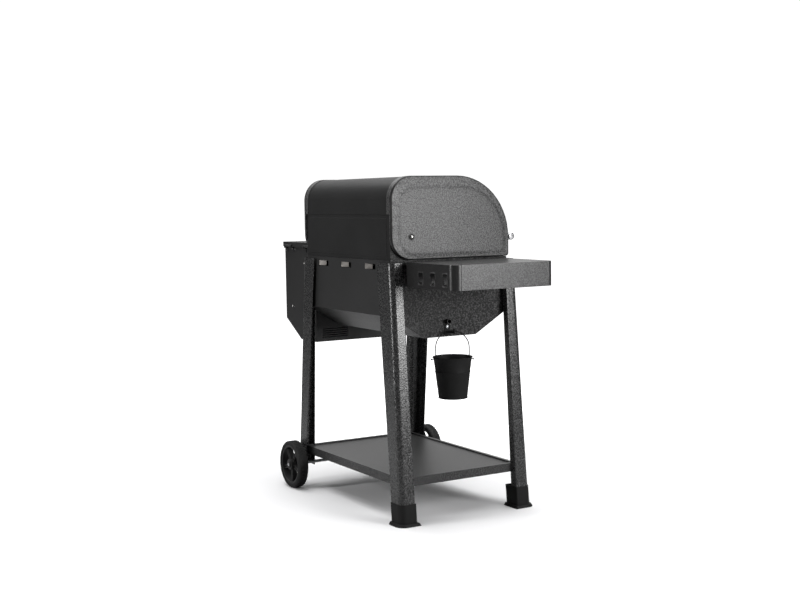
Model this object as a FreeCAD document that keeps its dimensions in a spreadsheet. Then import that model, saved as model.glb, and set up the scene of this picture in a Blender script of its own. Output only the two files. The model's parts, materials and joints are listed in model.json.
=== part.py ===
import FreeCAD, Part
import Sketcher
import math
import os
import re

# A wood-pellet grill on a stand: a drum-shaped cooking chamber with a hinged lid,
# a pellet hopper at one end, a side shelf at the other, four legs, two wheels and a grease bucket.
# The model is drawn about the middle of the cooking chamber, +X towards the hopper, -Y the front,
# +Z up from the floor, and every sub-part is then placed so that the row's origin is the
# middle of its footprint on the floor.

SIZES = {
    "sheet_gauge": 1.5,
    "plate_gauge": 2.0,
    "moving_gap": 0.4,
    "pivot_gap": 0.1,
    # cooking chamber
    "box_length": 624.0,
    "box_depth": 482.0,
    "box_top": 894.0,
    "box_wall_height": 191.0,
    "box_bottom": 622.0,
    "box_floor_width": 212.0,
    "rear_panel_height": 164.0,
    "rear_panel_set_back": 3.5,
    "bead_inset": 24.0,
    "bead_rise": 14.0,
    "bead_drop": 20.0,
    "bead_height": 1.2,
    "ear_height": 149.0,
    "ear_width": 118.0,
    "ear_corner": 22.0,
    "ear_slope": 24.0,
    "ledge_width": 12.0,
    "exhaust_width": 76.0,
    "exhaust_height": 19.0,
    "exhaust_drop": 33.0,
    "exhaust_pitch": 175.0,
    "cheek_thickness": 1.2,
    "cheek_run": 22.0,
    "cheek_reach": 20.0,
    "air_window_side": 60.0,
    "air_window_rise": 20.0,
    "air_window_width": 50.0,
    "air_window_height": 30.0,
    # lid
    "lid_overhang": 17.0,
    "lid_gap": 2.0,
    "lid_height": 284.0,
    "lid_rear_radius": 80.0,
    "lid_front_radius": 216.0,
    "lid_toe_radius": 10.0,
    "lid_heel_radius": 77.0,
    "lid_seam_rise": 155.0,
    "cap_rim": 34.0,
    "cap_low_rim": 15.0,
    "cap_boss_height": 3.0,
    "cap_boss_inset": 29.0,
    "cap_boss_rear_inset": 41.0,
    "cap_boss_top_inset": 49.0,
    "cap_boss_rise": 25.0,
    "cap_boss_toe_radius": 14.0,
    "cap_boss_rear_radius": 52.0,
    "cap_boss_front_radius": 172.0,
    "pivot_pin_radius": 4.0,
    "pivot_head_radius": 9.5,
    "pivot_head_height": 5.0,
    "pivot_thin_head_height": 2.0,
    "pivot_washer_radius": 12.5,
    "pivot_washer_height": 1.3,
    "pivot_nut_radius": 7.0,
    "pivot_nut_height": 4.0,
    "pivot_sleeve_radius": 9.0,
    "handle_radius": 13.0,
    "handle_length": 530.0,
    "handle_reach": 59.0,
    "handle_rise": 66.0,
    "handle_post_pitch": 440.0,
    "handle_post_radius": 8.0,
    "post_foot_grow": 7.0,
    "post_foot_height": 4.0,
    "grip_wall": 3.0,
    "grip_width": 24.0,
    # legs, feet, wheels and bottom shelf
    "leg_gauge": 2.0,
    "leg_top_drop": 8.0,
    "leg_corner_radius": 20.0,
    "leg_stand_off": 23.0,
    "leg_top_width": 94.0,
    "leg_front_stand_off": 11.0,
    "leg_run": 67.0,
    "leg_foot_width": 60.0,
    "leg_front_run": 11.0,
    "leg_wrap": 36.0,
    "front_legs_further": 12.0,
    "leg_lip": 34.0,
    "wheel_end_inset": 10.0,
    "wheel_leg_bottom": 76.0,
    "boot_height": 74.0,
    "boot_wall": 3.0,
    "boot_gap": 0.3,
    "boot_sole": 6.0,
    "boot_flange": 14.0,
    "boot_flange_top": 9.0,
    "boot_flange_height": 9.0,
    "axle_set_back": 50.0,
    "axle_radius": 6.0,
    "axle_spacer_wall": 4.0,
    "axle_spacer_gap": 1.0,
    "wheel_radius": 90.0,
    "wheel_width": 40.0,
    "wheel_stand_off": 13.0,
    "tyre_depth": 16.0,
    "tyre_shoulder": 7.0,
    "hub_radius": 20.0,
    "rim_depth": 7.0,
    "rim_set_back": 3.0,
    "spoke_count": 5,
    "spoke_width": 4.0,
    "spoke_gap": 5.0,
    "spoke_depth": 20.0,
    "axle_cap_height": 5.0,
    "axle_cap_radius": 13.0,
    "low_shelf_end_gap": 36.0,
    "low_shelf_side_gap": 2.5,
    "low_shelf_top": 157.0,
    "low_shelf_skirt": 31.0,
    "low_shelf_lip": 12.0,
    "low_shelf_recess": 5.0,
    "bolt_radius": 4.0,
    "bolt_head_radius": 7.0,
    "bolt_head_height": 4.0,
    "bolt_set_back": 0.3,
    "upper_bolt_drop": 50.0,
    "middle_bolt_rise": 30.0,
    "box_bolt_inset": 34.0,
    "shelf_bolt_inset": 22.0,
    "slot_gap": 1.0,
    # side shelf
    "side_shelf_gap": 15.0,
    "side_shelf_length": 290.0,
    "side_shelf_front_inset": 32.0,
    "side_shelf_back_inset": 46.0,
    "side_shelf_drop": 5.0,
    "side_shelf_skirt": 83.0,
    "side_shelf_corner": 28.0,
    "fascia_front_inset": 23.0,
    "fascia_back_inset": 30.0,
    "tool_hook_start": 91.0,
    "tool_hook_pitch": 74.0,
    "tool_hook_width": 30.0,
    "tool_hook_drop": 71.0,
    "tool_hook_height": 41.0,
    "tool_hook_stand_off": 9.0,
    "tool_hook_floor": 8.0,
    "tool_hook_tip": 20.0,
    "bracket_front": 120.0,
    "bracket_back": 100.0,
    "bracket_rise": 8.0,
    "bracket_drop": 12.0,
    "bracket_foot": 24.0,
    # hopper
    "hopper_stand_off": 6.0,
    "hopper_length": 265.0,
    "hopper_front_inset": 43.0,
    "hopper_back_inset": 46.0,
    "hopper_rise": 38.0,
    "hopper_bottom": 557.0,
    "hopper_flat": 134.0,
    "hopper_slope_height": 77.0,
    "hopper_lid_rise": 8.0,
    "hopper_lid_skirt": 19.0,
    "hopper_lid_overhang": 7.0,
    "hopper_lid_inner_overhang": 3.0,
    "hopper_lid_corner": 5.0,
    "hopper_pin_radius": 2.0,
    "hopper_pin_overhang": 10.0,
    "hopper_knuckle_radius": 4.0,
    "hopper_knuckle_length": 40.0,
    "hopper_hinge_inset": 30.0,
    "hinge_end_gap": 0.6,
    "hinge_end_width": 9.4,
    "hinge_leaf_drop": 24.0,
    "hinge_leaf_height": 18.0,
    "hopper_frame_half": 120.0,
    "hopper_frame_gap": 4.0,
    "hopper_frame_drop": 52.0,
    "funnel_drop": 32.0,
    "funnel_bottom": 705.0,
    "funnel_gauge": 2.0,
    "funnel_set_off": 24.0,
    "funnel_mouth_radius": 34.0,
    "guard_wire": 1.5,
    "guard_rise": 2.0,
    "guard_cross_wires": 7,
    "guard_long_wires": 9,
    "guard_end_inset": 20.0,
    "guard_side_inset": 16.0,
    "louvre_count": 5,
    "louvre_length": 110.0,
    "louvre_width": 3.5,
    "louvre_pitch": 8.0,
    "louvre_rise": 15.0,
    "louvre_set_back": 82.0,
    "screw_radius": 3.5,
    "screw_height": 1.8,
    # feed and fire
    "auger_level": 668.0,
    "auger_radius": 24.0,
    "auger_shaft_radius": 7.0,
    "auger_pitch": 46.0,
    "auger_flight": 4.0,
    "auger_flight_sink": 1.5,
    "auger_end_gap": 2.0,
    "auger_plain_end": 60.0,
    "auger_gap": 3.0,
    "auger_tube_wall": 3.0,
    "auger_tube_start": 56.0,
    "auger_tube_reach": 165.0,
    "tube_mouth_margin": 6.0,
    "fire_pot_size": 104.0,
    "fire_pot_top": 712.0,
    "fire_pot_bottom": 632.0,
    "fire_pot_wall": 3.0,
    "pot_foot_reach": 40.0,
    "pot_foot_width": 12.0,
    "igniter_radius": 5.0,
    "igniter_level": 646.0,
    "igniter_side": 34.0,
    "igniter_overlap": 14.0,
    "igniter_tail": 20.0,
    "motor_length": 62.0,
    "motor_size": 76.0,
    "motor_height": 66.0,
    "motor_drop": 32.0,
    "motor_can_rise": 8.0,
    "motor_can_radius": 16.0,
    "motor_can_length": 18.0,
    "motor_bridge": 10.0,
    "motor_socket_depth": 12.0,
    "fan_size": 96.0,
    "fan_height": 52.0,
    "fan_level": 572.0,
    "fan_set_off": 70.0,
    "fan_wall_gap": 30.0,
    "fan_radius": 38.0,
    "fan_gap": 4.0,
    "fan_floor": 3.0,
    "fan_hub_radius": 14.0,
    "fan_hub_rise": 4.0,
    "fan_blade_rise": 6.0,
    "fan_blade": 1.5,
    "fan_blades": 7,
    "deflector_drop": 152.0,
    "deflector_inset": 51.0,
    "deflector_half_length": 105.0,
    "deflector_thickness": 2.0,
    "deflector_ridge": 24.0,
    "stay_size": 4.0,
    "stay_reach": 100.0,
    "stay_inset": 70.0,
    "stay_drop": 20.0,
    "drip_tray_drop": 108.0,
    "drip_tray_fall": 16.0,
    "drip_tray_gap": 16.0,
    "drip_tray_end_gap": 4.0,
    "drip_tray_gauge": 2.0,
    "drip_tray_wall": 12.0,
    "grate_drop": 58.0,
    "grate_wire": 3.0,
    "grate_pitch": 19.0,
    "grate_gap": 3.0,
    "grate_half_gap": 2.0,
    "rack_rise": 109.0,
    "rack_depth": 150.0,
    "rack_set_back": 60.0,
    "rack_end_inset": 47.0,
    "rack_tail": 5.0,
    "rack_wire": 2.0,
    "rack_wires": 21,
    "probe_side": 90.0,
    "probe_drop": 19.0,
    "probe_radius": 3.0,
    "probe_length": 70.0,
    "probe_collar_radius": 9.0,
    # controls
    "panel_width": 196.0,
    "panel_height": 112.0,
    "panel_drop": 102.0,
    "panel_thickness": 4.0,
    "lens_left": 16.0,
    "lens_rise": 62.0,
    "lens_width": 74.0,
    "lens_height": 36.0,
    "lens_thickness": 2.6,
    "lens_proud": 0.6,
    "knob_left": 144.0,
    "knob_rise": 66.0,
    "knob_radius": 21.0,
    "knob_taper": 3.0,
    "knob_height": 17.0,
    "knob_shaft_radius": 3.0,
    "knob_shaft_length": 3.5,
    "knob_mark_width": 2.0,
    "knob_mark_start": 4.0,
    "knob_mark_length": 12.0,
    "button_first": 34.0,
    "button_second": 72.0,
    "button_rise": 32.0,
    "button_radius": 6.0,
    "button_height": 3.0,
    "button_travel": 1.5,
    "button_clearance": 1.2,
    "switch_left": 132.0,
    "switch_rise": 14.0,
    "switch_width": 26.0,
    "switch_height": 15.0,
    "switch_gap": 1.0,
    "switch_proud": 2.5,
    "switch_depth": 4.5,
    "inlet_start_offset": 61.0,
    "inlet_rise": 35.0,
    "inlet_width": 32.0,
    "inlet_height": 25.0,
    "inlet_depth": 22.0,
    "inlet_wall": 3.0,
    "inlet_bezel": 3.0,
    "inlet_bezel_side": 8.0,
    "inlet_bezel_edge": 4.0,
    "inlet_blade": 2.0,
    "inlet_blade_height": 4.0,
    "inlet_blade_pitch": 7.0,
    "inlet_blade_clearance": 7.0,
    # grease bucket
    "bucket_stand_off": 34.0,
    "bucket_offset": 15.0,
    "bucket_rim": 554.0,
    "bucket_base": 411.0,
    "bucket_rim_radius": 70.0,
    "bucket_base_radius": 49.5,
    "bucket_wall": 1.2,
    "bucket_rim_wire": 2.2,
    "bucket_rim_sink": 2.0,
    "bucket_bead_wire": 1.6,
    "bucket_bead_drop": 50.0,
    "bucket_bead_inset": 8.7,
    "bucket_chime_rise": 2.0,
    "bucket_chime_grow": 0.4,
    "bail_radius": 58.0,
    "bail_wire": 1.75,
    "bail_top": 645.0,
    "bail_pivot_drop": 7.0,
    "bail_end_length": 2.0,
    "bail_knob_radius": 3.2,
    "bail_turn": 30.7,
    "hook_radius": 4.0,
    "hook_length": 14.0,
    "hook_tip_height": 14.0,
    "hook_plate_width": 24.0,
    "hook_plate_drop": 12.0,
    "hook_plate_height": 38.0,
    "hook_screw_rise": 18.0,
    "hook_screw_radius": 5.0,
    "hook_screw_height": 3.0,
    "drain_level": 676.0,
    "drain_radius": 9.0,
    "drain_reach": 18.0,
    "gutter_width": 26.0,
    "gutter_length": 220.0,
    "gutter_height": 26.0,
}

WORKED_OUT = {
    "row_shift": "(side_shelf_end - hopper_end - hopper_lid_overhang) / 2",
    "row_shift_back": "front_legs_further / 2",
    "half_box": "box_length / 2",
    "half_depth": "box_depth / 2",
    "box_shoulder": "box_top - box_wall_height",
    "ear_top": "box_top + ear_height",
    "exhaust_bottom": "box_top - exhaust_drop",
    "lid_length": "box_length + 2 * lid_overhang",
    "lid_bottom": "box_top + lid_gap",
    "lid_top": "lid_bottom + lid_height",
    "lid_seam": "lid_bottom + lid_seam_rise",
    "half_lid": "lid_length / 2",
    "cap_face": "half_lid - cap_boss_height",
    "pivot_y": "half_depth - lid_heel_radius",
    "pivot_z": "lid_bottom + lid_heel_radius",
    "shell_inset": "sheet_gauge + 0.2",
    "handle_y": "0 - half_depth - handle_reach",
    "handle_level": "lid_bottom + handle_rise",
    "leg_sole": "boot_sole",
    "leg_top": "box_top - leg_top_drop",
    "leg_top_reach": "half_box + leg_stand_off",
    "leg_foot_reach": "leg_top_reach + leg_run",
    "leg_top_front": "half_depth + leg_front_stand_off",
    "leg_foot_front": "leg_top_front + leg_front_run",
    "leg_inner_line": "half_depth - leg_wrap",
    "lip_top": "half_box + 1",
    "leg_lean": "(leg_foot_reach - leg_top_reach) / leg_top",
    "leg_spread": "(leg_foot_front - leg_top_front) / leg_top",
    "leg_taper": "(leg_top_width - leg_foot_width) / leg_top",
    "axle_reach": "leg_foot_reach - axle_set_back",
    "wheel_face": "leg_foot_front + wheel_stand_off + wheel_width",
    "rim_radius": "wheel_radius - tyre_depth",
    "axle_half": "wheel_face + axle_cap_height",
    "low_shelf_length": "2 * (leg_foot_reach - low_shelf_end_gap)",
    "low_shelf_depth": "2 * (half_depth - low_shelf_side_gap)",
    "side_shelf_start": "half_lid + side_shelf_gap",
    "side_shelf_end": "side_shelf_start + side_shelf_length",
    "side_shelf_front": "half_depth - side_shelf_front_inset",
    "side_shelf_back": "half_depth - side_shelf_back_inset",
    "side_shelf_top": "box_top - side_shelf_drop",
    "side_shelf_bottom": "side_shelf_top - side_shelf_skirt",
    "fascia_front": "side_shelf_front - fascia_front_inset",
    "fascia_back": "side_shelf_back - fascia_back_inset",
    "tool_hook_first": "side_shelf_start + tool_hook_start",
    "tool_hook_bottom": "side_shelf_top - tool_hook_drop",
    "hopper_start": "half_lid + hopper_stand_off",
    "hopper_end": "hopper_start + hopper_length",
    "hopper_middle": "(hopper_start + hopper_end) / 2",
    "hopper_front": "half_depth - hopper_front_inset",
    "hopper_back": "half_depth - hopper_back_inset",
    "hopper_top": "box_top + hopper_rise",
    "hopper_slope_top": "hopper_bottom + hopper_slope_height",
    "hopper_lid_top": "hopper_top + hopper_lid_rise",
    "hopper_lid_inner": "hopper_start - hopper_lid_inner_overhang",
    "hopper_frame_top": "hopper_top - hopper_frame_drop",
    "hopper_frame_bottom": "auger_level - auger_tube_radius - hopper_frame_gap",
    "funnel_top": "hopper_top - funnel_drop",
    "funnel_middle": "hopper_middle - funnel_set_off",
    "louvre_first": "hopper_bottom + louvre_rise",
    "louvre_middle": "hopper_back - louvre_set_back",
    "hinge_y": "hopper_back + hopper_lid_overhang + hopper_knuckle_radius",
    "hinge_z": "hopper_lid_top - hopper_lid_skirt + hopper_knuckle_radius",
    "auger_tube_end": "hopper_start + auger_tube_reach",
    "auger_tube_radius": "auger_radius + auger_gap + auger_tube_wall",
    "pot_half": "fire_pot_size / 2",
    "fan_middle": "hopper_start + fan_set_off",
    "fan_side": "hopper_front - fan_wall_gap - fan_size / 2",
    "deflector_level": "box_top - deflector_drop",
    "deflector_half_width": "half_depth - deflector_inset",
    "drip_tray_level": "box_top - drip_tray_drop",
    "grate_level": "box_top - grate_drop",
    "rack_level": "box_top + rack_rise",
    "rack_half": "half_box - rack_end_inset",
    "probe_level": "box_top - probe_drop",
    "panel_middle": "hopper_middle",
    "panel_bottom": "box_top - panel_drop",
    "inlet_start": "hopper_start + inlet_start_offset",
    "inlet_bottom": "hopper_bottom + inlet_rise",
    "bucket_reach": "half_box + bucket_stand_off",
    "bail_level": "bucket_rim - bail_pivot_drop",
    "hook_level": "bail_top - bail_wire - moving_gap - hook_radius",
    "hook_end": "bucket_reach + hook_length",
}

document = FreeCAD.newDocument("PelletGrill")
sheet = document.addObject("Spreadsheet::Sheet", "Sizes")
for line_number, (alias, number) in enumerate(SIZES.items(), start=1):
    sheet.set("A%d" % line_number, alias)
    sheet.set("B%d" % line_number, str(number))
    sheet.setAlias("B%d" % line_number, alias)
document.recompute()

sub_parts = []


def rule(text):
    """The sheet expression for a rule that is written with plain size names."""
    def swap(found):
        word = found.group(0)
        if word in WORKED_OUT:
            return "(" + rule(WORKED_OUT[word]) + ")"
        if word in SIZES:
            return "Sizes." + word
        return word
    return re.sub(r"[a-z][a-z_0-9]*", swap, str(text))


def size(text):
    """The number that a rule gives now."""
    found = sheet.evalExpression(rule(text))
    return float(getattr(found, "Value", found))


def bind(thing, rules):
    """Ties properties of a thing to the sheet."""
    for name, text in rules.items():
        thing.setExpression(name, rule(text))
    return thing


def finished(thing, label):
    """Names a sub-part and places it in the row's frame."""
    thing.Label = label
    for side, shift in (("Placement.Base.x", "row_shift"), ("Placement.Base.y", "row_shift_back")):
        own = [text for name, text in thing.ExpressionEngine if name.strip(".") == side]
        thing.setExpression(side, " + ".join(own + [rule(shift)]))
    sub_parts.append(thing)
    return thing


def block(x, y, z, length, width, height):
    """A box from its lowest corner."""
    thing = document.addObject("Part::Box", "Block")
    corner = {"Placement.Base.x": x, "Placement.Base.y": y, "Placement.Base.z": z}
    bind(thing, corner)
    return bind(thing, {"Length": length, "Width": width, "Height": height})


TURN = {
    "z": FreeCAD.Rotation(),
    "x": FreeCAD.Rotation(FreeCAD.Vector(0, 1, 0), 90),
    "y": FreeCAD.Rotation(FreeCAD.Vector(1, 0, 0), -90),
}


def rod(axis, x, y, z, radius, length):
    """A round bar that starts at a point and runs along +X, +Y or +Z."""
    thing = document.addObject("Part::Cylinder", "Rod")
    thing.Placement = FreeCAD.Placement(FreeCAD.Vector(), TURN[axis])
    bind(thing, {"Placement.Base.x": x, "Placement.Base.y": y, "Placement.Base.z": z})
    return bind(thing, {"Radius": radius, "Height": length})


def cone(axis, x, y, z, first_radius, last_radius, length):
    """A cone frustum that starts at a point and runs along an axis."""
    thing = document.addObject("Part::Cone", "Frustum")
    thing.Placement = FreeCAD.Placement(FreeCAD.Vector(), TURN[axis])
    bind(thing, {"Placement.Base.x": x, "Placement.Base.y": y, "Placement.Base.z": z})
    return bind(thing, {"Radius1": first_radius, "Radius2": last_radius, "Height": length})


def ring(axis, x, y, z, radius, wire, sweep=360):
    """A torus about a point, whole or in part."""
    thing = document.addObject("Part::Torus", "Ring")
    thing.Placement = FreeCAD.Placement(FreeCAD.Vector(), TURN[axis])
    thing.Angle3 = sweep
    bind(thing, {"Placement.Base.x": x, "Placement.Base.y": y, "Placement.Base.z": z})
    return bind(thing, {"Radius1": radius, "Radius2": wire})


def cut(base, tool):
    thing = document.addObject("Part::Cut", "Cut")
    thing.Base = base
    thing.Tool = tool
    return thing


def cut_all(base, tools):
    for tool in tools:
        base = cut(base, tool)
    return base


def join(pieces):
    thing = document.addObject("Part::MultiFuse", "Join")
    thing.Shapes = pieces
    return thing


def group(pieces):
    """Separate solids that share one node."""
    thing = document.addObject("Part::Compound", "Group")
    thing.Links = pieces
    return thing


def mirrored(source, normal):
    """A mirror image of a piece across a plane through the origin."""
    thing = document.addObject("Part::Mirroring", "Mirror")
    thing.Source = source
    thing.Normal = normal
    return thing


def corner_points(corners):
    """Where each rounded corner of an outline starts, ends and has its centre."""
    places = [(size(c[0]), size(c[1]), size(c[2]) if len(c) > 2 else 0.0) for c in corners]
    found = []
    for i, (x, y, radius) in enumerate(places):
        here = FreeCAD.Vector(x, y, 0)
        before = FreeCAD.Vector(*places[i - 1][:2], 0) - here
        after = FreeCAD.Vector(*places[(i + 1) % len(places)][:2], 0) - here
        before.normalize()
        after.normalize()
        if radius == 0:
            found.append((here, here, here, None, 0, 0))
            continue
        half = before.getAngle(after) / 2
        reach = radius / math.tan(half)
        inward = before + after
        inward.normalize()
        centre = here + inward * (radius / math.sin(half))
        turn = before.x * after.y - before.y * after.x
        found.append((here, here + before * reach, here + after * reach, centre, radius, turn))
    return found


def outline(body, role, level, corners):
    """A closed sketch on an origin plane; each corner is (across, up) or (across, up, radius)."""
    sketch = body.newObject("Sketcher::SketchObject", "Outline")
    plane = [f for f in body.Origin.OriginFeatures if f.Role == role][0]
    sketch.AttachmentSupport = [(plane, "")]
    sketch.MapMode = "FlatFace"
    sketch.setExpression("AttachmentOffset.Base.z", rule(level))
    points = corner_points(corners)
    count = len(points)
    for i in range(count):
        sketch.addGeometry(Part.LineSegment(points[i][2], points[(i + 1) % count][1]), False)
    for i, (here, start, end, centre, radius, turn) in enumerate(points):
        before = (i - 1) % count
        across = rule(corners[i][0])
        up = rule(corners[i][1])
        if centre is None:
            sketch.addConstraint(Sketcher.Constraint("Coincident", before, 2, i, 1))
            pin = (i, 1)
        else:
            first = start - centre
            last = end - centre
            first_angle = math.atan2(first.y, first.x)
            last_angle = math.atan2(last.y, last.x)
            circle = Part.Circle(centre, FreeCAD.Vector(0, 0, 1), radius)
            if turn < 0:
                arc = sketch.addGeometry(Part.ArcOfCircle(circle, first_angle, last_angle), False)
                ends = (1, 2)
            else:
                arc = sketch.addGeometry(Part.ArcOfCircle(circle, last_angle, first_angle), False)
                ends = (2, 1)
            sketch.addConstraint(Sketcher.Constraint("Tangent", before, 2, arc, ends[0]))
            sketch.addConstraint(Sketcher.Constraint("Tangent", arc, ends[1], i, 1))
            number = sketch.addConstraint(Sketcher.Constraint("Radius", arc, radius))
            sketch.setExpression("Constraints[%d]" % number, rule(corners[i][2]))
            mark = sketch.addGeometry(Part.Point(here), True)
            sketch.addConstraint(Sketcher.Constraint("PointOnObject", mark, 1, before))
            sketch.addConstraint(Sketcher.Constraint("PointOnObject", mark, 1, i))
            pin = (mark, 1)
        number = sketch.addConstraint(Sketcher.Constraint("DistanceX", -1, 1, pin[0], pin[1], here.x))
        sketch.setExpression("Constraints[%d]" % number, across)
        number = sketch.addConstraint(Sketcher.Constraint("DistanceY", -1, 1, pin[0], pin[1], here.y))
        sketch.setExpression("Constraints[%d]" % number, up)
    return sketch


def slab(role, level, depth, corners):
    """A padded outline: role names the plane, level where it starts, depth how far it runs."""
    body = document.addObject("PartDesign::Body", "Slab")
    sketch = outline(body, role, level, corners)
    pad = body.newObject("PartDesign::Pad", "Pad")
    pad.Profile = sketch
    bind(pad, {"Length": depth})
    body.Tip = pad
    return body


def lofted(first_level, first_corners, last_level, last_corners):
    """A straight loft between two level outlines."""
    body = document.addObject("PartDesign::Body", "Loft")
    low = outline(body, "XY_Plane", first_level, first_corners)
    high = outline(body, "XY_Plane", last_level, last_corners)
    loft = body.newObject("PartDesign::AdditiveLoft", "AdditiveLoft")
    loft.Profile = low
    loft.Sections = [high]
    loft.Ruled = True
    body.Tip = loft
    return body


def rectangle(low_across, low_up, high_across, high_up, radius=None):
    """The four corners of a rectangle, sharp or rounded."""
    corners = [
        (low_across, low_up),
        (high_across, low_up),
        (high_across, high_up),
        (low_across, high_up),
    ]
    if radius is None:
        return corners
    return [(across, up, radius) for across, up in corners]


def box_corners(inset):
    """The cooking chamber's section: upright walls, sloped shoulders and a flat floor."""
    wall = "half_depth - %s" % inset
    slope = "atan((box_shoulder - box_bottom) / (half_depth - box_floor_width / 2))"
    shoulder = "box_shoulder + %s * tan((90 deg - %s) / 2)" % (inset, slope)
    floor = "box_floor_width / 2 - %s * tan(%s / 2)" % (inset, slope)
    bottom = "box_bottom + %s" % inset
    return [
        ("-(%s)" % wall, "box_top"),
        ("-(%s)" % wall, shoulder),
        ("-(%s)" % floor, bottom),
        (floor, bottom),
        (wall, shoulder),
        (wall, "box_top"),
    ]


def lid_corners(inset, bottom):
    """The lid's D-shaped section, drawn in from its outside by an inset."""
    return [
        ("-(half_depth - %s)" % inset, bottom, "lid_toe_radius - %s / 2" % inset),
        ("half_depth - %s" % inset, bottom, "lid_heel_radius - %s" % inset),
        ("half_depth - %s" % inset, "lid_top - %s" % inset, "lid_rear_radius - %s" % inset),
        ("-(half_depth - %s)" % inset, "lid_top - %s" % inset, "lid_front_radius - %s" % inset),
    ]


def cook_box():
    """The folded sheet trough with its exhaust slots, and the ledges that carry the grates."""
    outer = slab("YZ_Plane", "-(half_box - plate_gauge)", "box_length - 2 * plate_gauge", box_corners("0"))
    inner = slab("YZ_Plane", "-half_box", "box_length", box_corners("sheet_gauge"))
    trough = cut(outer, inner)
    for step in (-1, 0, 1):
        slot = block(
            "%d * exhaust_pitch - exhaust_width / 2" % step,
            "half_depth - 3 * sheet_gauge",
            "exhaust_bottom",
            "exhaust_width",
            "5 * sheet_gauge",
            "exhaust_height",
        )
        trough = cut(trough, slot)
    ledges = []
    for side in ("-(half_depth - sheet_gauge)", "half_depth - sheet_gauge - ledge_width"):
        ledges.append(block(
            "-(half_box - plate_gauge)",
            side,
            "grate_level - 2 * grate_wire - sheet_gauge",
            "box_length - 2 * plate_gauge",
            "ledge_width",
            "sheet_gauge",
        ))
    trough = cut_all(trough, bolt_holes(places=("upper", "middle")))
    finished(join([trough] + ledges), "cook_box_shell")


def exhaust_scoops():
    """A folded cheek behind the hopper-side end of each exhaust slot, turning the smoke outwards."""
    cheeks = []
    for step in (-1, 0, 1):
        end = "%d * exhaust_pitch + exhaust_width / 2" % step
        wall = "half_depth - sheet_gauge"
        cheeks.append(slab("XY_Plane", "exhaust_bottom", "exhaust_height", [
            (end, wall),
            (end + " - cheek_thickness", wall),
            (end + " - cheek_run", "half_depth - cheek_reach"),
            (end + " - cheek_run + cheek_thickness", "half_depth - cheek_reach"),
        ]))
    finished(group(cheeks), "exhaust_scoops")


def end_plates():
    """The chamber's end plates, each with an ear at the rear that carries the lid's pivot."""
    for name, start in (("end_plate_left", "-half_box"), ("end_plate_right", "half_box - plate_gauge")):
        corners = box_corners("0")
        ear = [
            ("half_depth - rear_panel_set_back", "box_top"),
            ("half_depth - rear_panel_set_back", "ear_top", "ear_corner"),
            ("half_depth - rear_panel_set_back - ear_width", "ear_top", "ear_corner"),
            ("half_depth - rear_panel_set_back - ear_width - ear_slope", "box_top"),
        ]
        plate = slab("YZ_Plane", start, "plate_gauge", corners + ear)
        pin = rod("x", start + " - 1", "pivot_y", "pivot_z", "pivot_pin_radius", "plate_gauge + 2")
        plate = cut(plate, pin)
        if name == "end_plate_left":
            drain = rod("x", start + " - 1", "bucket_offset", "drain_level", "drain_radius",
                        "plate_gauge + 2")
            plate = cut(plate, drain)
        else:
            feed = rod("x", start + " - 1", "0", "auger_level", "auger_tube_radius", "plate_gauge + 2")
            glow = rod("x", start + " - 1", "-igniter_side", "igniter_level", "igniter_radius",
                       "plate_gauge + 2")
            air = block(start + " - 1", "air_window_side", "box_bottom + air_window_rise", "plate_gauge + 2",
                        "air_window_width", "air_window_height")
            plate = cut_all(plate, [feed, glow, air])
        finished(plate, name)


def rear_panel():
    """The fixed upright panel between the ears, under the lid's rear edge."""
    panel = block(
        "-(half_box - plate_gauge)",
        "half_depth - rear_panel_set_back - sheet_gauge",
        "box_top",
        "box_length - 2 * plate_gauge",
        "sheet_gauge",
        "rear_panel_height",
    )
    bead = block(
        "-(half_box - bead_inset)",
        "half_depth - rear_panel_set_back",
        "box_top + bead_rise",
        "box_length - 2 * bead_inset",
        "bead_height",
        "rear_panel_height - bead_rise - bead_drop",
    )
    finished(join([panel, bead]), "rear_panel")


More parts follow.
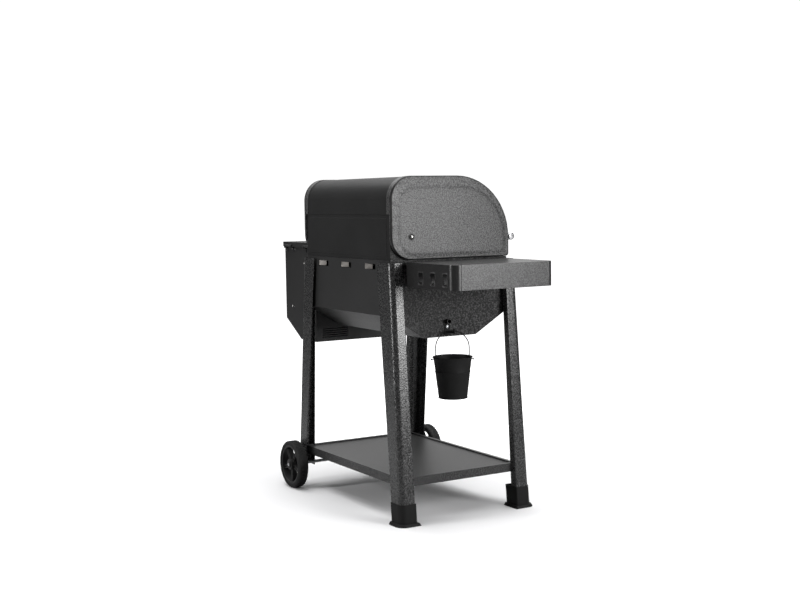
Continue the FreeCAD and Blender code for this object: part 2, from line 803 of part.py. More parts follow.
def lid():
    """The rolled lid sheet, its two formed end caps, the front handle and its posts."""
    outer = slab("YZ_Plane", "-(cap_face - sheet_gauge)", "2 * (cap_face - sheet_gauge)",
                 lid_corners("shell_inset", "lid_bottom - 20"))
    inner = slab("YZ_Plane", "-half_lid", "lid_length",
                 lid_corners("(shell_inset + sheet_gauge)", "lid_bottom - 40"))
    under = block("-half_lid", "-box_depth", "lid_bottom - 60", "lid_length", "2 * box_depth", "62")
    behind = block("-half_lid", "0", "lid_bottom - 60", "lid_length", "box_depth",
                   "lid_seam - lid_bottom + 60")
    toes = []
    for start in ("-half_lid", "half_lid - cap_rim - moving_gap"):
        toes.append(block(start, "-box_depth", "lid_bottom - 60", "cap_rim + moving_gap", "box_depth",
                          "60 + lid_toe_radius"))
    finished(cut_all(cut(outer, inner), [under, behind] + toes), "lid_shell")

    cap_outer = slab("YZ_Plane", "half_lid - cap_rim", "cap_rim - cap_boss_height",
                     lid_corners("0", "lid_bottom"))
    cap_inner = slab("YZ_Plane", "half_lid - cap_rim - 1", "cap_rim - cap_boss_height - sheet_gauge + 1",
                     lid_corners("sheet_gauge", "lid_bottom + sheet_gauge"))
    pan = cut(cap_outer, cap_inner)
    pan = cut(pan, block("half_lid - cap_rim - 1", "-(half_depth - 5)", "lid_bottom - 1",
                         "cap_rim - cap_low_rim + 1", "box_depth", "lid_seam - lid_bottom + 1"))
    boss = slab("YZ_Plane", "cap_face", "cap_boss_height", [
        ("-(half_depth - cap_boss_inset)", "lid_bottom + cap_boss_rise", "cap_boss_toe_radius"),
        ("half_depth - cap_boss_rear_inset", "lid_bottom + cap_boss_rise", "cap_boss_rear_radius"),
        ("half_depth - cap_boss_rear_inset", "lid_top - cap_boss_top_inset", "cap_boss_rear_radius"),
        ("-(half_depth - cap_boss_inset)", "lid_top - cap_boss_top_inset", "cap_boss_front_radius"),
    ])
    hole = rod("x", "0", "pivot_y", "pivot_z", "pivot_pin_radius + pivot_gap", "half_lid + 1")
    right = cut(join([pan, boss]), hole)
    finished(mirrored(right, FreeCAD.Vector(1, 0, 0)), "lid_cap_left")
    finished(group([right]), "lid_cap_right")

    bar = rod("x", "-handle_length / 2", "handle_y", "handle_level", "handle_radius", "handle_length")
    finished(bar, "lid_handle")
    posts = []
    for sign in ("-", ""):
        across = sign + "handle_post_pitch / 2"
        stem = rod("y", across, "handle_y", "handle_level", "handle_post_radius",
                   "handle_reach + shell_inset")
        foot = rod("y", across, "-half_depth + shell_inset - post_foot_height", "handle_level",
                   "handle_post_radius + post_foot_grow", "post_foot_height")
        grip = rod("x", across + " - grip_width / 2", "handle_y", "handle_level",
                   "handle_radius + grip_wall", "grip_width")
        bore = rod("x", across + " - grip_width / 2 - 1", "handle_y", "handle_level",
                   "handle_radius", "grip_width + 2")
        posts.append(cut(join([stem, foot, grip]), bore))
    finished(group(posts), "handle_posts")


def lid_pivots():
    """The shouldered bolts that the lid turns on, with their sleeves; the shelf end has a washer.

    The hopper's cover sweeps close by the other bolt, so that one has a thin head and no washer.
    """
    shank = rod("x", "half_box - plate_gauge - pivot_nut_height", "pivot_y", "pivot_z", "pivot_pin_radius",
                "half_lid + moving_gap - half_box + plate_gauge + pivot_nut_height + 1")
    nut = rod("x", "half_box - plate_gauge - pivot_nut_height", "pivot_y", "pivot_z",
              "pivot_nut_radius", "pivot_nut_height")
    thin_head = rod("x", "half_lid + moving_gap", "pivot_y", "pivot_z",
                    "pivot_head_radius", "pivot_thin_head_height")
    head_start = "half_lid + moving_gap + pivot_washer_height"
    full_head = rod("x", head_start, "pivot_y", "pivot_z", "pivot_head_radius", "pivot_head_height")
    neck = rod("x", "half_lid", "pivot_y", "pivot_z", "pivot_pin_radius",
               "moving_gap + pivot_washer_height + 1")
    sleeve = tube("half_box", "pivot_sleeve_radius", "cap_face - sheet_gauge - moving_gap - half_box")
    washer = tube("half_lid + moving_gap", "pivot_washer_radius", "pivot_washer_height")
    across = FreeCAD.Vector(1, 0, 0)
    left = mirrored(join([shank, neck, full_head, nut]), across)
    finished(group([left, join([shank, thin_head, nut])]), "hinge_bolts")
    finished(group([mirrored(sleeve, across), mirrored(washer, across), sleeve]), "hinge_spacers")


def tube(start, radius, length):
    """A ring about the lid's pivot line that fits the bolt."""
    return cut(
        rod("x", start, "pivot_y", "pivot_z", radius, length),
        rod("x", start + " - 1", "pivot_y", "pivot_z", "pivot_pin_radius", length + " + 2"),
    )


def lip_edge(level, side, end_inset):
    """How far a leg's inner lip reaches in along the frame at one level."""
    return "%d * (lip_top + (leg_foot_reach - %s - leg_lip - lip_top) * (1 - (%s) / leg_top))" % (
        side, end_inset, level)


def leg_section(level, side, face, end_inset):
    """A leg's open channel at one level: outer flat, rounded corner, end flat and inner lip."""
    reach = "%d * (leg_foot_reach - leg_lean * (%s) - %s)" % (side, level, end_inset)
    inner = "%d * (leg_foot_reach - leg_lean * (%s) - %s - leg_foot_width - leg_taper * (%s))" % (
        side, level, end_inset, level)
    lip = lip_edge(level, side, end_inset)
    further = "0" if face > 0 else "front_legs_further"
    front = "%d * (leg_foot_front - leg_spread * (%s) + %s)" % (face, level, further)
    back = "%d * (leg_inner_line + %s)" % (face, further)
    gauge_x = "%d * leg_gauge" % side
    gauge_y = "%d * leg_gauge" % face
    return [
        (inner, front),
        (reach, front, "leg_corner_radius"),
        (reach, back, "leg_gauge + 2"),
        (lip, back),
        (lip, back + " + " + gauge_y),
        (reach + " - " + gauge_x, back + " + " + gauge_y, "2"),
        (reach + " - " + gauge_x, front + " - " + gauge_y, "leg_corner_radius - leg_gauge"),
        (inner, front + " - " + gauge_y),
    ]


LEGS = (
    ("leg_rear_left", -1, 1, "0", "leg_sole"),
    ("leg_front_left", -1, -1, "0", "leg_sole"),
    ("leg_rear_right", 1, 1, "wheel_end_inset", "wheel_leg_bottom"),
    ("leg_front_right", 1, -1, "wheel_end_inset", "wheel_leg_bottom"),
)


BOLT_PLACES = ("upper", "middle", "shelf")


def bolt(side, face, place, radius, head=False):
    """A frame bolt, or the hole for one, from inside the chamber or shelf out into a leg's outer flat."""
    further = "0" if face > 0 else "front_legs_further"
    level = {
        "upper": "box_top - upper_bolt_drop",
        "middle": "box_shoulder + middle_bolt_rise",
        "shelf": "low_shelf_top - low_shelf_skirt / 2",
    }[place]
    across = "%d * (half_box - box_bolt_inset)" % side
    wall = "half_depth"
    if place == "shelf":
        across = "%d * (low_shelf_length / 2 - shelf_bolt_inset)" % side
        wall = "low_shelf_depth / 2"
    inside = "%s - sheet_gauge - bolt_head_height" % wall
    outside = "leg_foot_front - leg_spread * (%s) + %s - bolt_set_back" % (level, further)
    start = inside if face > 0 else "-(%s)" % outside
    shank = rod("y", across, start, level, radius, "%s - (%s)" % (outside, inside))
    if not head:
        return shank
    head_start = inside if face > 0 else "-(%s - sheet_gauge)" % wall
    return join([shank, rod("y", across, head_start, level, "bolt_head_radius", "bolt_head_height")])


def bolt_holes(faces=(-1, 1), sides=(-1, 1), places=BOLT_PLACES):
    """The holes for some of the frame bolts."""
    return [bolt(side, face, place, "bolt_radius + pivot_gap")
            for side in sides for face in faces for place in places]


def legs():
    """Four pressed-steel channel legs that lean outwards; the wheel-end pair carry the axle."""
    for name, side, face, inset, bottom in LEGS:
        leg = lofted(bottom, leg_section(bottom, side, face, inset),
                     "leg_top", leg_section("leg_top", side, face, inset))
        leg = cut_all(leg, bolt_holes((face,), (side,)))
        if side > 0:
            hole = rod("y", "axle_reach", "-(leg_foot_front + front_legs_further + 5)", "wheel_radius",
                       "axle_radius", "2 * leg_foot_front + front_legs_further + 10")
            leg = cut(leg, hole)
        finished(leg, name)


def boot_section(level, face, grow):
    """The outline of a boot around its leg, grown by a wall."""
    low = "-(leg_foot_reach - leg_lean * (%s) + %s)" % (level, grow)
    high = "-(leg_foot_reach - leg_lean * (%s) - leg_foot_width - leg_taper * (%s) - %s)" % (
        level, level, grow)
    further = "0" if face > 0 else "front_legs_further"
    front = "%d * (leg_foot_front - leg_spread * (%s) + %s + %s)" % (face, level, further, grow)
    back = "%d * (leg_inner_line + %s - %s)" % (face, further, grow)
    outer = "leg_corner_radius + %s - 0.2" % grow
    inner = "%s + 0.2" % grow
    return [(low, front, outer), (high, front, inner), (high, back, inner), (low, back, "leg_gauge + 2")]


def feet():
    """Moulded boots with a flared sole on the two shelf-end legs."""
    for name, face in (("foot_rear", 1), ("foot_front", -1)):
        sleeve = lofted("0", boot_section("0", face, "boot_wall"),
                        "boot_height", boot_section("boot_height", face, "boot_wall"))
        flange = lofted("0", boot_section("0", face, "boot_flange"),
                        "boot_flange_height", boot_section("boot_flange_height", face, "boot_flange_top"))
        cavity = lofted("boot_sole", boot_section("boot_sole", face, "boot_gap"),
                        "boot_height + 2", boot_section("(boot_height + 2)", face, "boot_gap"))
        finished(cut(join([sleeve, flange]), cavity), name)


def axle_and_wheels():
    """The fixed axle, its push-on caps and two spoked wheels."""
    axle = rod("y", "axle_reach", "-(axle_half + front_legs_further)", "wheel_radius", "axle_radius",
               "2 * axle_half + front_legs_further")
    finished(axle, "axle")
    caps = []
    for start in ("-(wheel_face + front_legs_further + axle_cap_height)", "wheel_face + moving_gap"):
        disc = rod("y", "axle_reach", start, "wheel_radius", "axle_cap_radius",
                   "axle_cap_height - moving_gap")
        bore = rod("y", "axle_reach", start + " - 1", "wheel_radius", "axle_radius", "axle_cap_height + 2")
        caps.append(cut(disc, bore))
    for start in ("-(wheel_face + front_legs_further - wheel_width - moving_gap)",
                  "leg_foot_front + axle_spacer_gap"):
        length = "wheel_face - wheel_width - moving_gap - leg_foot_front - axle_spacer_gap"
        disc = rod("y", "axle_reach", start, "wheel_radius", "axle_radius + axle_spacer_wall", length)
        bore = rod("y", "axle_reach", start + " - 1", "wheel_radius", "axle_radius", length + " + 2")
        caps.append(cut(disc, bore))
    finished(group(caps), "axle_caps")
    for name, start in (("rear", "wheel_face - wheel_width"),
                        ("front", "-(wheel_face + front_legs_further)")):
        middle = start + " + wheel_width / 2"
        hub = rod("y", "axle_reach", start, "wheel_radius", "hub_radius", "wheel_width")
        band = cut(
            rod("y", "axle_reach", start + " + rim_set_back", "wheel_radius", "rim_radius",
                "wheel_width - 2 * rim_set_back"),
            rod("y", "axle_reach", start, "wheel_radius", "rim_radius - rim_depth", "wheel_width"),
        )
        pieces = [hub, band]
        for number in range(int(SIZES["spoke_count"])):
            angle = 180 + 360.0 * number / SIZES["spoke_count"]
            turn = FreeCAD.Rotation(FreeCAD.Vector(0, 1, 0), angle)
            across = turn.multVec(FreeCAD.Vector(1, 0, 0))
            for offset in ("spoke_gap / 2", "-spoke_gap / 2 - spoke_width"):
                spoke = document.addObject("Part::Box", "Spoke")
                spoke.Placement = FreeCAD.Placement(FreeCAD.Vector(), turn)
                bind(spoke, {
                    "Placement.Base.x": "axle_reach + (%s) * %.9f" % (offset, across.x),
                    "Placement.Base.y": middle + " - spoke_depth / 2",
                    "Placement.Base.z": "wheel_radius + (%s) * %.9f" % (offset, across.z),
                    "Length": "spoke_width",
                    "Width": "spoke_depth",
                    "Height": "rim_radius - rim_depth / 2",
                })
                pieces.append(spoke)
        bore = rod("y", "axle_reach", start + " - 1", "wheel_radius", "axle_radius + pivot_gap",
                   "wheel_width + 2")
        finished(cut(join(pieces), bore), "wheel_hub_" + name)
        tread = document.addObject("Part::Fillet", "Tread")
        solid = rod("y", "axle_reach", start, "wheel_radius", "wheel_radius", "wheel_width")
        tread.Base = solid
        tread.Edges = [(edge, SIZES["tyre_shoulder"], SIZES["tyre_shoulder"]) for edge in (1, 3)]
        bore = rod("y", "axle_reach", start + " - 1", "wheel_radius", "rim_radius", "wheel_width + 2")
        finished(cut(tread, bore), "tyre_" + name)


def low_shelf():
    """The pressed bottom shelf: a tray turned over, with a raised lip round a sunk panel."""
    half_x = "low_shelf_length / 2"
    half_y = "low_shelf_depth / 2"
    tray = block("-" + half_x, "-" + half_y, "low_shelf_top - low_shelf_skirt",
                 "low_shelf_length", "low_shelf_depth", "low_shelf_skirt")
    sunk = block("-%s + low_shelf_lip" % half_x, "-%s + low_shelf_lip" % half_y,
                 "low_shelf_top - low_shelf_recess", "low_shelf_length - 2 * low_shelf_lip",
                 "low_shelf_depth - 2 * low_shelf_lip", "low_shelf_recess + 1")
    under = block("-%s + sheet_gauge" % half_x, "-%s + sheet_gauge" % half_y,
                  "low_shelf_top - low_shelf_skirt - 1", "low_shelf_length - 2 * sheet_gauge",
                  "low_shelf_depth - 2 * sheet_gauge",
                  "low_shelf_skirt + 1 - low_shelf_recess - sheet_gauge")
    slots = []
    for name, side, face, inset, bottom in LEGS:
        further = "0" if face > 0 else "front_legs_further"
        edge = lip_edge("low_shelf_top", 1, inset) + " - slot_gap"
        length = "%s - (%s) + 1" % (half_x, edge)
        start = edge if side > 0 else "-(%s) - 1" % half_x
        near = "leg_inner_line + %s" % further
        low = near + " - slot_gap" if face > 0 else "-(%s) - leg_gauge - slot_gap" % near
        slots.append(block(start, low, "low_shelf_top - low_shelf_skirt - 1", length,
                           "leg_gauge + 2 * slot_gap", "low_shelf_skirt + 2"))
    shelf = cut_all(tray, [sunk, under] + slots + bolt_holes(places=("shelf",)))
    finished(shelf, "bottom_shelf")


def frame_bolts():
    """The bolts that hold the legs to the chamber and the shelf to the legs."""
    bolts = []
    for name, side, face, inset, bottom in LEGS:
        for place in BOLT_PLACES:
            bolts.append(bolt(side, face, place, "bolt_radius", head=True))
    finished(group(bolts), "frame_bolts")


def side_shelf():
    """The folded side shelf with three pressed tool hooks, its end fascia and its brackets."""
    outer_corners = [
        ("-side_shelf_start", "-side_shelf_front"),
        ("-side_shelf_start", "side_shelf_back"),
        ("-(side_shelf_end - sheet_gauge)", "side_shelf_back", "side_shelf_corner"),
        ("-(side_shelf_end - sheet_gauge)", "-side_shelf_front", "side_shelf_corner"),
    ]
    inner_corners = [
        ("-(side_shelf_start + sheet_gauge)", "-(side_shelf_front - sheet_gauge)"),
        ("-(side_shelf_start + sheet_gauge)", "side_shelf_back - sheet_gauge"),
        ("-(side_shelf_end - 2 * sheet_gauge)", "side_shelf_back - sheet_gauge",
         "side_shelf_corner - sheet_gauge"),
        ("-(side_shelf_end - 2 * sheet_gauge)", "-(side_shelf_front - sheet_gauge)",
         "side_shelf_corner - sheet_gauge"),
    ]
    outer = slab("XY_Plane", "side_shelf_bottom", "side_shelf_skirt", outer_corners)
    inner = slab("XY_Plane", "side_shelf_bottom - 1",
                 "side_shelf_skirt + 1 - sheet_gauge", inner_corners)
    shelf = cut(outer, inner)
    hooks = []
    for number in range(3):
        middle = "-(tool_hook_first + %d * tool_hook_pitch)" % number
        window = block(middle + " - tool_hook_width / 2", "side_shelf_back - 2 * sheet_gauge",
                       "tool_hook_bottom", "tool_hook_width", "4 * sheet_gauge", "tool_hook_height")
        shelf = cut(shelf, window)
        tab_left = middle + " - tool_hook_width / 4"
        root = block(tab_left, "side_shelf_back - sheet_gauge",
                     "tool_hook_bottom - 1", "tool_hook_width / 2", "sheet_gauge", "tool_hook_floor + 1")
        floor = block(tab_left, "side_shelf_back - sheet_gauge",
                      "tool_hook_bottom + tool_hook_floor - sheet_gauge", "tool_hook_width / 2",
                      "tool_hook_stand_off + sheet_gauge", "sheet_gauge")
        tip = block(tab_left, "side_shelf_back + tool_hook_stand_off - sheet_gauge",
                    "tool_hook_bottom + tool_hook_floor - sheet_gauge",
                    "tool_hook_width / 2", "sheet_gauge", "tool_hook_tip")
        hooks.append(join([root, floor, tip]))
    finished(join([shelf] + hooks), "side_shelf")
    fascia = block("-side_shelf_end", "-fascia_front", "side_shelf_bottom",
                   "sheet_gauge", "fascia_front + fascia_back", "side_shelf_skirt")
    finished(fascia, "side_shelf_fascia")
    brackets = []
    low = "side_shelf_bottom + bracket_rise"
    tall = "side_shelf_skirt - bracket_rise - bracket_drop"
    for place in ("-bracket_front", "bracket_back"):
        arm = block("-side_shelf_start", place, low, "side_shelf_start - half_box", "plate_gauge", tall)
        foot = block("-(half_box + plate_gauge)", place, low, "plate_gauge", "bracket_foot", tall)
        brackets.append(join([arm, foot]))
    finished(group(brackets), "shelf_brackets")


def hopper():
    """The pellet hopper: folded housing, mounting frame, inner funnel, guard, hinge and lid."""
    def section(inset, top):
        slope = "atan((hopper_slope_top - hopper_bottom) / (hopper_end - hopper_start - hopper_flat))"
        return [
            ("hopper_start + %s" % inset, "hopper_bottom + %s" % inset),
            ("hopper_start + hopper_flat - %s * tan(%s / 2)" % (inset, slope), "hopper_bottom + %s" % inset),
            ("hopper_end - %s" % inset, "hopper_slope_top + %s * tan((90 deg - %s) / 2)" % (inset, slope)),
            ("hopper_end - %s" % inset, top),
            ("hopper_start + %s" % inset, top),
        ]
    outer = slab("XZ_Plane", "-hopper_back", "hopper_back + hopper_front", section("0", "hopper_top"))
    inner = slab("XZ_Plane", "-(hopper_back - sheet_gauge)",
                 "hopper_back + hopper_front - 2 * sheet_gauge", section("sheet_gauge", "hopper_top + 5"))
    shell = cut(outer, inner)
    wall_start = "hopper_start - 1"
    tools = [
        rod("x", wall_start, "0", "auger_level", "auger_tube_radius", "sheet_gauge + 2"),
        rod("x", wall_start, "-igniter_side", "igniter_level", "igniter_radius", "sheet_gauge + 2"),
        block(wall_start, "air_window_side", "box_bottom + air_window_rise", "sheet_gauge + 2",
              "air_window_width", "air_window_height"),
        block("inlet_start", "hopper_back - sheet_gauge - 1", "inlet_bottom",
              "inlet_width", "sheet_gauge + 2", "inlet_height"),
    ]
    for number in range(SIZES["louvre_count"]):
        tools.append(block(wall_start, "louvre_middle - louvre_length / 2",
                           "louvre_first + %d * louvre_pitch" % number,
                           "sheet_gauge + 2", "louvre_length", "louvre_width"))
    finished(cut_all(shell, tools), "hopper_housing")

    frame_length = "hopper_start - half_box"
    ring_out = block("half_box", "-hopper_frame_half", "hopper_frame_bottom", frame_length,
                     "2 * hopper_frame_half", "hopper_frame_top - hopper_frame_bottom")
    ring_in = block("half_box - 1", "-hopper_frame_half + plate_gauge", "hopper_frame_bottom + plate_gauge",
                    frame_length + " + 2", "2 * hopper_frame_half - 2 * plate_gauge",
                    "hopper_frame_top - hopper_frame_bottom - 2 * plate_gauge")
    glow = rod("x", "half_box - 1", "-igniter_side", "igniter_level", "igniter_radius", frame_length + " + 2")
    finished(cut_all(ring_out, [ring_in, glow]), "hopper_mount_frame")

    top_corners = rectangle("hopper_start + sheet_gauge", "-(hopper_front - sheet_gauge)",
                            "hopper_end - sheet_gauge", "hopper_back - sheet_gauge")
    mouth = rectangle("funnel_middle - funnel_mouth_radius", "-funnel_mouth_radius",
                      "funnel_middle + funnel_mouth_radius", "funnel_mouth_radius")
    inner_top = rectangle("hopper_start + 3 * sheet_gauge", "-(hopper_front - 3 * sheet_gauge)",
                          "hopper_end - 3 * sheet_gauge", "hopper_back - 3 * sheet_gauge")
    inner_mouth = rectangle("funnel_middle - funnel_mouth_radius + funnel_gauge",
                            "-funnel_mouth_radius + funnel_gauge",
                            "funnel_middle + funnel_mouth_radius - funnel_gauge",
                            "funnel_mouth_radius - funnel_gauge")
    funnel = cut(lofted("funnel_bottom", mouth, "funnel_top", top_corners),
                 lofted("funnel_bottom - 0.1", inner_mouth, "funnel_top + 0.1", inner_top))
    finished(funnel, "hopper_funnel")

    guard = []
    guard_level = "funnel_top + guard_rise"
    crossings = SIZES["guard_cross_wires"]
    for number in range(crossings):
        across = "hopper_start + guard_end_inset + %d * (hopper_length - 2 * guard_end_inset) / %d" % (
            number, crossings - 1)
        guard.append(rod("y", across, "-(hopper_front - 2 * sheet_gauge)", guard_level, "guard_wire",
                         "hopper_front + hopper_back - 4 * sheet_gauge"))
    runs = SIZES["guard_long_wires"]
    for number in range(runs):
        along = "-(hopper_front - guard_side_inset) + %d * (hopper_front + hopper_back" \
                " - 2 * guard_side_inset) / %d" % (number, runs - 1)
        guard.append(rod("x", "hopper_start + 2 * sheet_gauge", along, guard_level + " + 2 * guard_wire",
                         "guard_wire", "hopper_length - 4 * sheet_gauge"))
    finished(group(guard), "hopper_guard")

    lid_low = "hopper_lid_top - hopper_lid_skirt"
    lid_pan = slab("XY_Plane", lid_low, "hopper_lid_skirt", rectangle(
        "hopper_lid_inner", "-(hopper_front + hopper_lid_overhang)",
        "hopper_end + hopper_lid_overhang", "hopper_back + hopper_lid_overhang", "hopper_lid_corner"))
    lid_void = slab("XY_Plane", lid_low + " - 1", "hopper_lid_skirt + 1 - sheet_gauge", rectangle(
        "hopper_lid_inner + sheet_gauge", "-(hopper_front + hopper_lid_overhang - sheet_gauge)",
        "hopper_end + hopper_lid_overhang - sheet_gauge",
        "hopper_back + hopper_lid_overhang - sheet_gauge", "hopper_lid_corner - sheet_gauge"))
    pan = cut(lid_pan, lid_void)
    knuckles = []
    pins = []
    for start in ("hopper_start + hopper_hinge_inset",
                  "hopper_end - hopper_hinge_inset - hopper_knuckle_length"):
        barrel = rod("x", start, "hinge_y", "hinge_z", "hopper_knuckle_radius", "hopper_knuckle_length")
        web = block(start, "hinge_y - hopper_knuckle_radius - sheet_gauge / 2", "hinge_z",
                    "hopper_knuckle_length", "hopper_knuckle_radius", "hopper_knuckle_radius")
        bore = rod("x", start + " - 1", "hinge_y", "hinge_z", "hopper_pin_radius + pivot_gap",
                   "hopper_knuckle_length + 2")
        knuckles.append(cut(join([barrel, web]), bore))
        pin = rod("x", start + " - hopper_pin_overhang", "hinge_y", "hinge_z", "hopper_pin_radius",
                  "hopper_knuckle_length + 2 * hopper_pin_overhang")
        ends = []
        for end in (start + " - hopper_pin_overhang", start + " + hopper_knuckle_length + hinge_end_gap"):
            ends += hinge_end(end)
        pins.append(join([pin] + ends))
    finished(join([pan] + knuckles), "hopper_lid")
    finished(group(pins), "hopper_hinge")


def hinge_end(start):
    """One fixed end of a hopper hinge: its barrel, its leaf on the housing and the strap between them."""
    strap_level = "hinge_z - hinge_end_width"
    return [
        rod("x", start, "hinge_y", "hinge_z", "hopper_knuckle_radius", "hinge_end_width"),
        block(start, "hopper_back", "hinge_z - hinge_leaf_drop", "hinge_end_width", "plate_gauge",
              "hinge_leaf_height"),
        block(start, "hopper_back", strap_level, "hinge_end_width",
              "hinge_y - hopper_back + hopper_knuckle_radius", "plate_gauge"),
        block(start, "hinge_y + hopper_knuckle_radius - plate_gauge", strap_level, "hinge_end_width",
              "plate_gauge", "hinge_end_width"),
    ]


def feed_and_fire():
    """The auger and its tube and motor, the fire pot with its igniter, and the fan."""
    tube_length = "auger_tube_end - auger_tube_start"
    tube = rod("x", "auger_tube_start", "0", "auger_level", "auger_tube_radius", tube_length)
    bore = rod("x", "auger_tube_start - 1", "0", "auger_level",
               "auger_tube_radius - auger_tube_wall", tube_length + " + 2")
    mouth = block("funnel_middle - funnel_mouth_radius + funnel_gauge",
                  "-(auger_tube_radius - tube_mouth_margin)", "auger_level",
                  "2 * (funnel_mouth_radius - funnel_gauge)",
                  "2 * (auger_tube_radius - tube_mouth_margin)", "auger_tube_radius + 2")
    finished(cut_all(tube, [bore, mouth]), "auger_tube")

    body = document.addObject("PartDesign::Body", "Screw")
    profile = outline(body, "XZ_Plane", "0", rectangle(
        "auger_tube_start + 2 * auger_end_gap", "auger_shaft_radius - auger_flight_sink",
        "auger_tube_start + 2 * auger_end_gap + auger_flight", "auger_radius"))
    flight = body.newObject("PartDesign::AdditiveHelix", "Flight")
    flight.Profile = profile
    flight.ReferenceAxis = (profile, ["H_Axis"])
    flight.Mode = 0
    bind(flight, {"Pitch": "auger_pitch", "Height": "auger_tube_end - auger_tube_start - auger_plain_end"})
    body.Tip = flight
    bind(body, {"Placement.Base.z": "auger_level"})
    shaft = rod("x", "auger_tube_start + auger_end_gap", "0", "auger_level", "auger_shaft_radius",
                tube_length + " + 3 * auger_end_gap")
    finished(join([body, shaft]), "auger")

    motor_start = "auger_tube_end + motor_bridge"
    motor = block(motor_start, "-motor_size / 2", "auger_level - motor_drop",
                  "motor_length", "motor_size", "motor_height")
    can = rod("x", motor_start + " + motor_length", "0", "auger_level + motor_can_rise",
              "motor_can_radius", "motor_can_length")
    socket = rod("x", "auger_tube_end + motor_bridge / 2", "0", "auger_level",
                 "auger_shaft_radius + moving_gap", "motor_socket_depth")
    bridge = cut(
        rod("x", "auger_tube_end", "0", "auger_level", "auger_tube_radius", "motor_bridge"),
        rod("x", "auger_tube_end - 1", "0", "auger_level", "auger_tube_radius - auger_tube_wall",
            "motor_bridge + 2"),
    )
    finished(cut(join([motor, can, bridge]), socket), "auger_motor")

    pot = block("-pot_half", "-pot_half", "fire_pot_bottom", "fire_pot_size", "fire_pot_size",
                "fire_pot_top - fire_pot_bottom")
    hollow = block("-pot_half + fire_pot_wall", "-pot_half + fire_pot_wall",
                   "fire_pot_bottom + fire_pot_wall", "fire_pot_size - 2 * fire_pot_wall",
                   "fire_pot_size - 2 * fire_pot_wall", "fire_pot_top - fire_pot_bottom")
    feet = []
    for sign in ("-1", "1"):
        feet.append(block(sign + " * pot_foot_reach - pot_foot_width / 2", "-pot_foot_reach",
                          "box_bottom + sheet_gauge", "pot_foot_width", "2 * pot_foot_reach",
                          "fire_pot_bottom - box_bottom - sheet_gauge"))
    ports = [
        rod("x", "0", "0", "auger_level", "auger_tube_radius - auger_tube_wall", "fire_pot_size"),
        rod("x", "0", "-igniter_side", "igniter_level", "igniter_radius", "fire_pot_size"),
    ]
    sleeve = cut(
        rod("x", "pot_half - 1", "0", "auger_level", "auger_tube_radius", "auger_tube_start - pot_half + 1"),
        rod("x", "pot_half - 2", "0", "auger_level", "auger_tube_radius - auger_tube_wall",
            "auger_tube_start - pot_half + 4"),
    )
    finished(join([cut_all(cut(pot, hollow), ports), sleeve] + feet), "fire_pot")
    igniter = rod("x", "pot_half - igniter_overlap", "-igniter_side", "igniter_level", "igniter_radius",
                  "hopper_start + igniter_tail - pot_half + igniter_overlap")
    finished(igniter, "igniter")

    case = block("fan_middle - fan_size / 2", "-(fan_side + fan_size / 2)", "fan_level",
                 "fan_size", "fan_size", "fan_height")
    well = rod("z", "fan_middle", "-fan_side", "fan_level + fan_floor", "fan_radius + fan_gap", "fan_height")
    finished(cut(case, well), "fan_housing")
    hub = rod("z", "fan_middle", "-fan_side", "fan_level + fan_hub_rise", "fan_hub_radius",
              "fan_height - fan_hub_rise - fan_blade_rise")
    blades = []
    for number in range(SIZES["fan_blades"]):
        turn = FreeCAD.Rotation(FreeCAD.Vector(0, 0, 1), 360.0 * number / SIZES["fan_blades"])
        blade = document.addObject("Part::Box", "Blade")
        blade.Placement = FreeCAD.Placement(FreeCAD.Vector(), turn)
        bind(blade, {
            "Placement.Base.x": "fan_middle",
            "Placement.Base.y": "-fan_side",
            "Placement.Base.z": "fan_level + fan_blade_rise",
            "Length": "fan_radius",
            "Width": "fan_blade",
            "Height": "fan_height - 2 * fan_blade_rise - 2",
        })
        blades.append(blade)
    finished(join([hub] + blades), "fan_impeller")


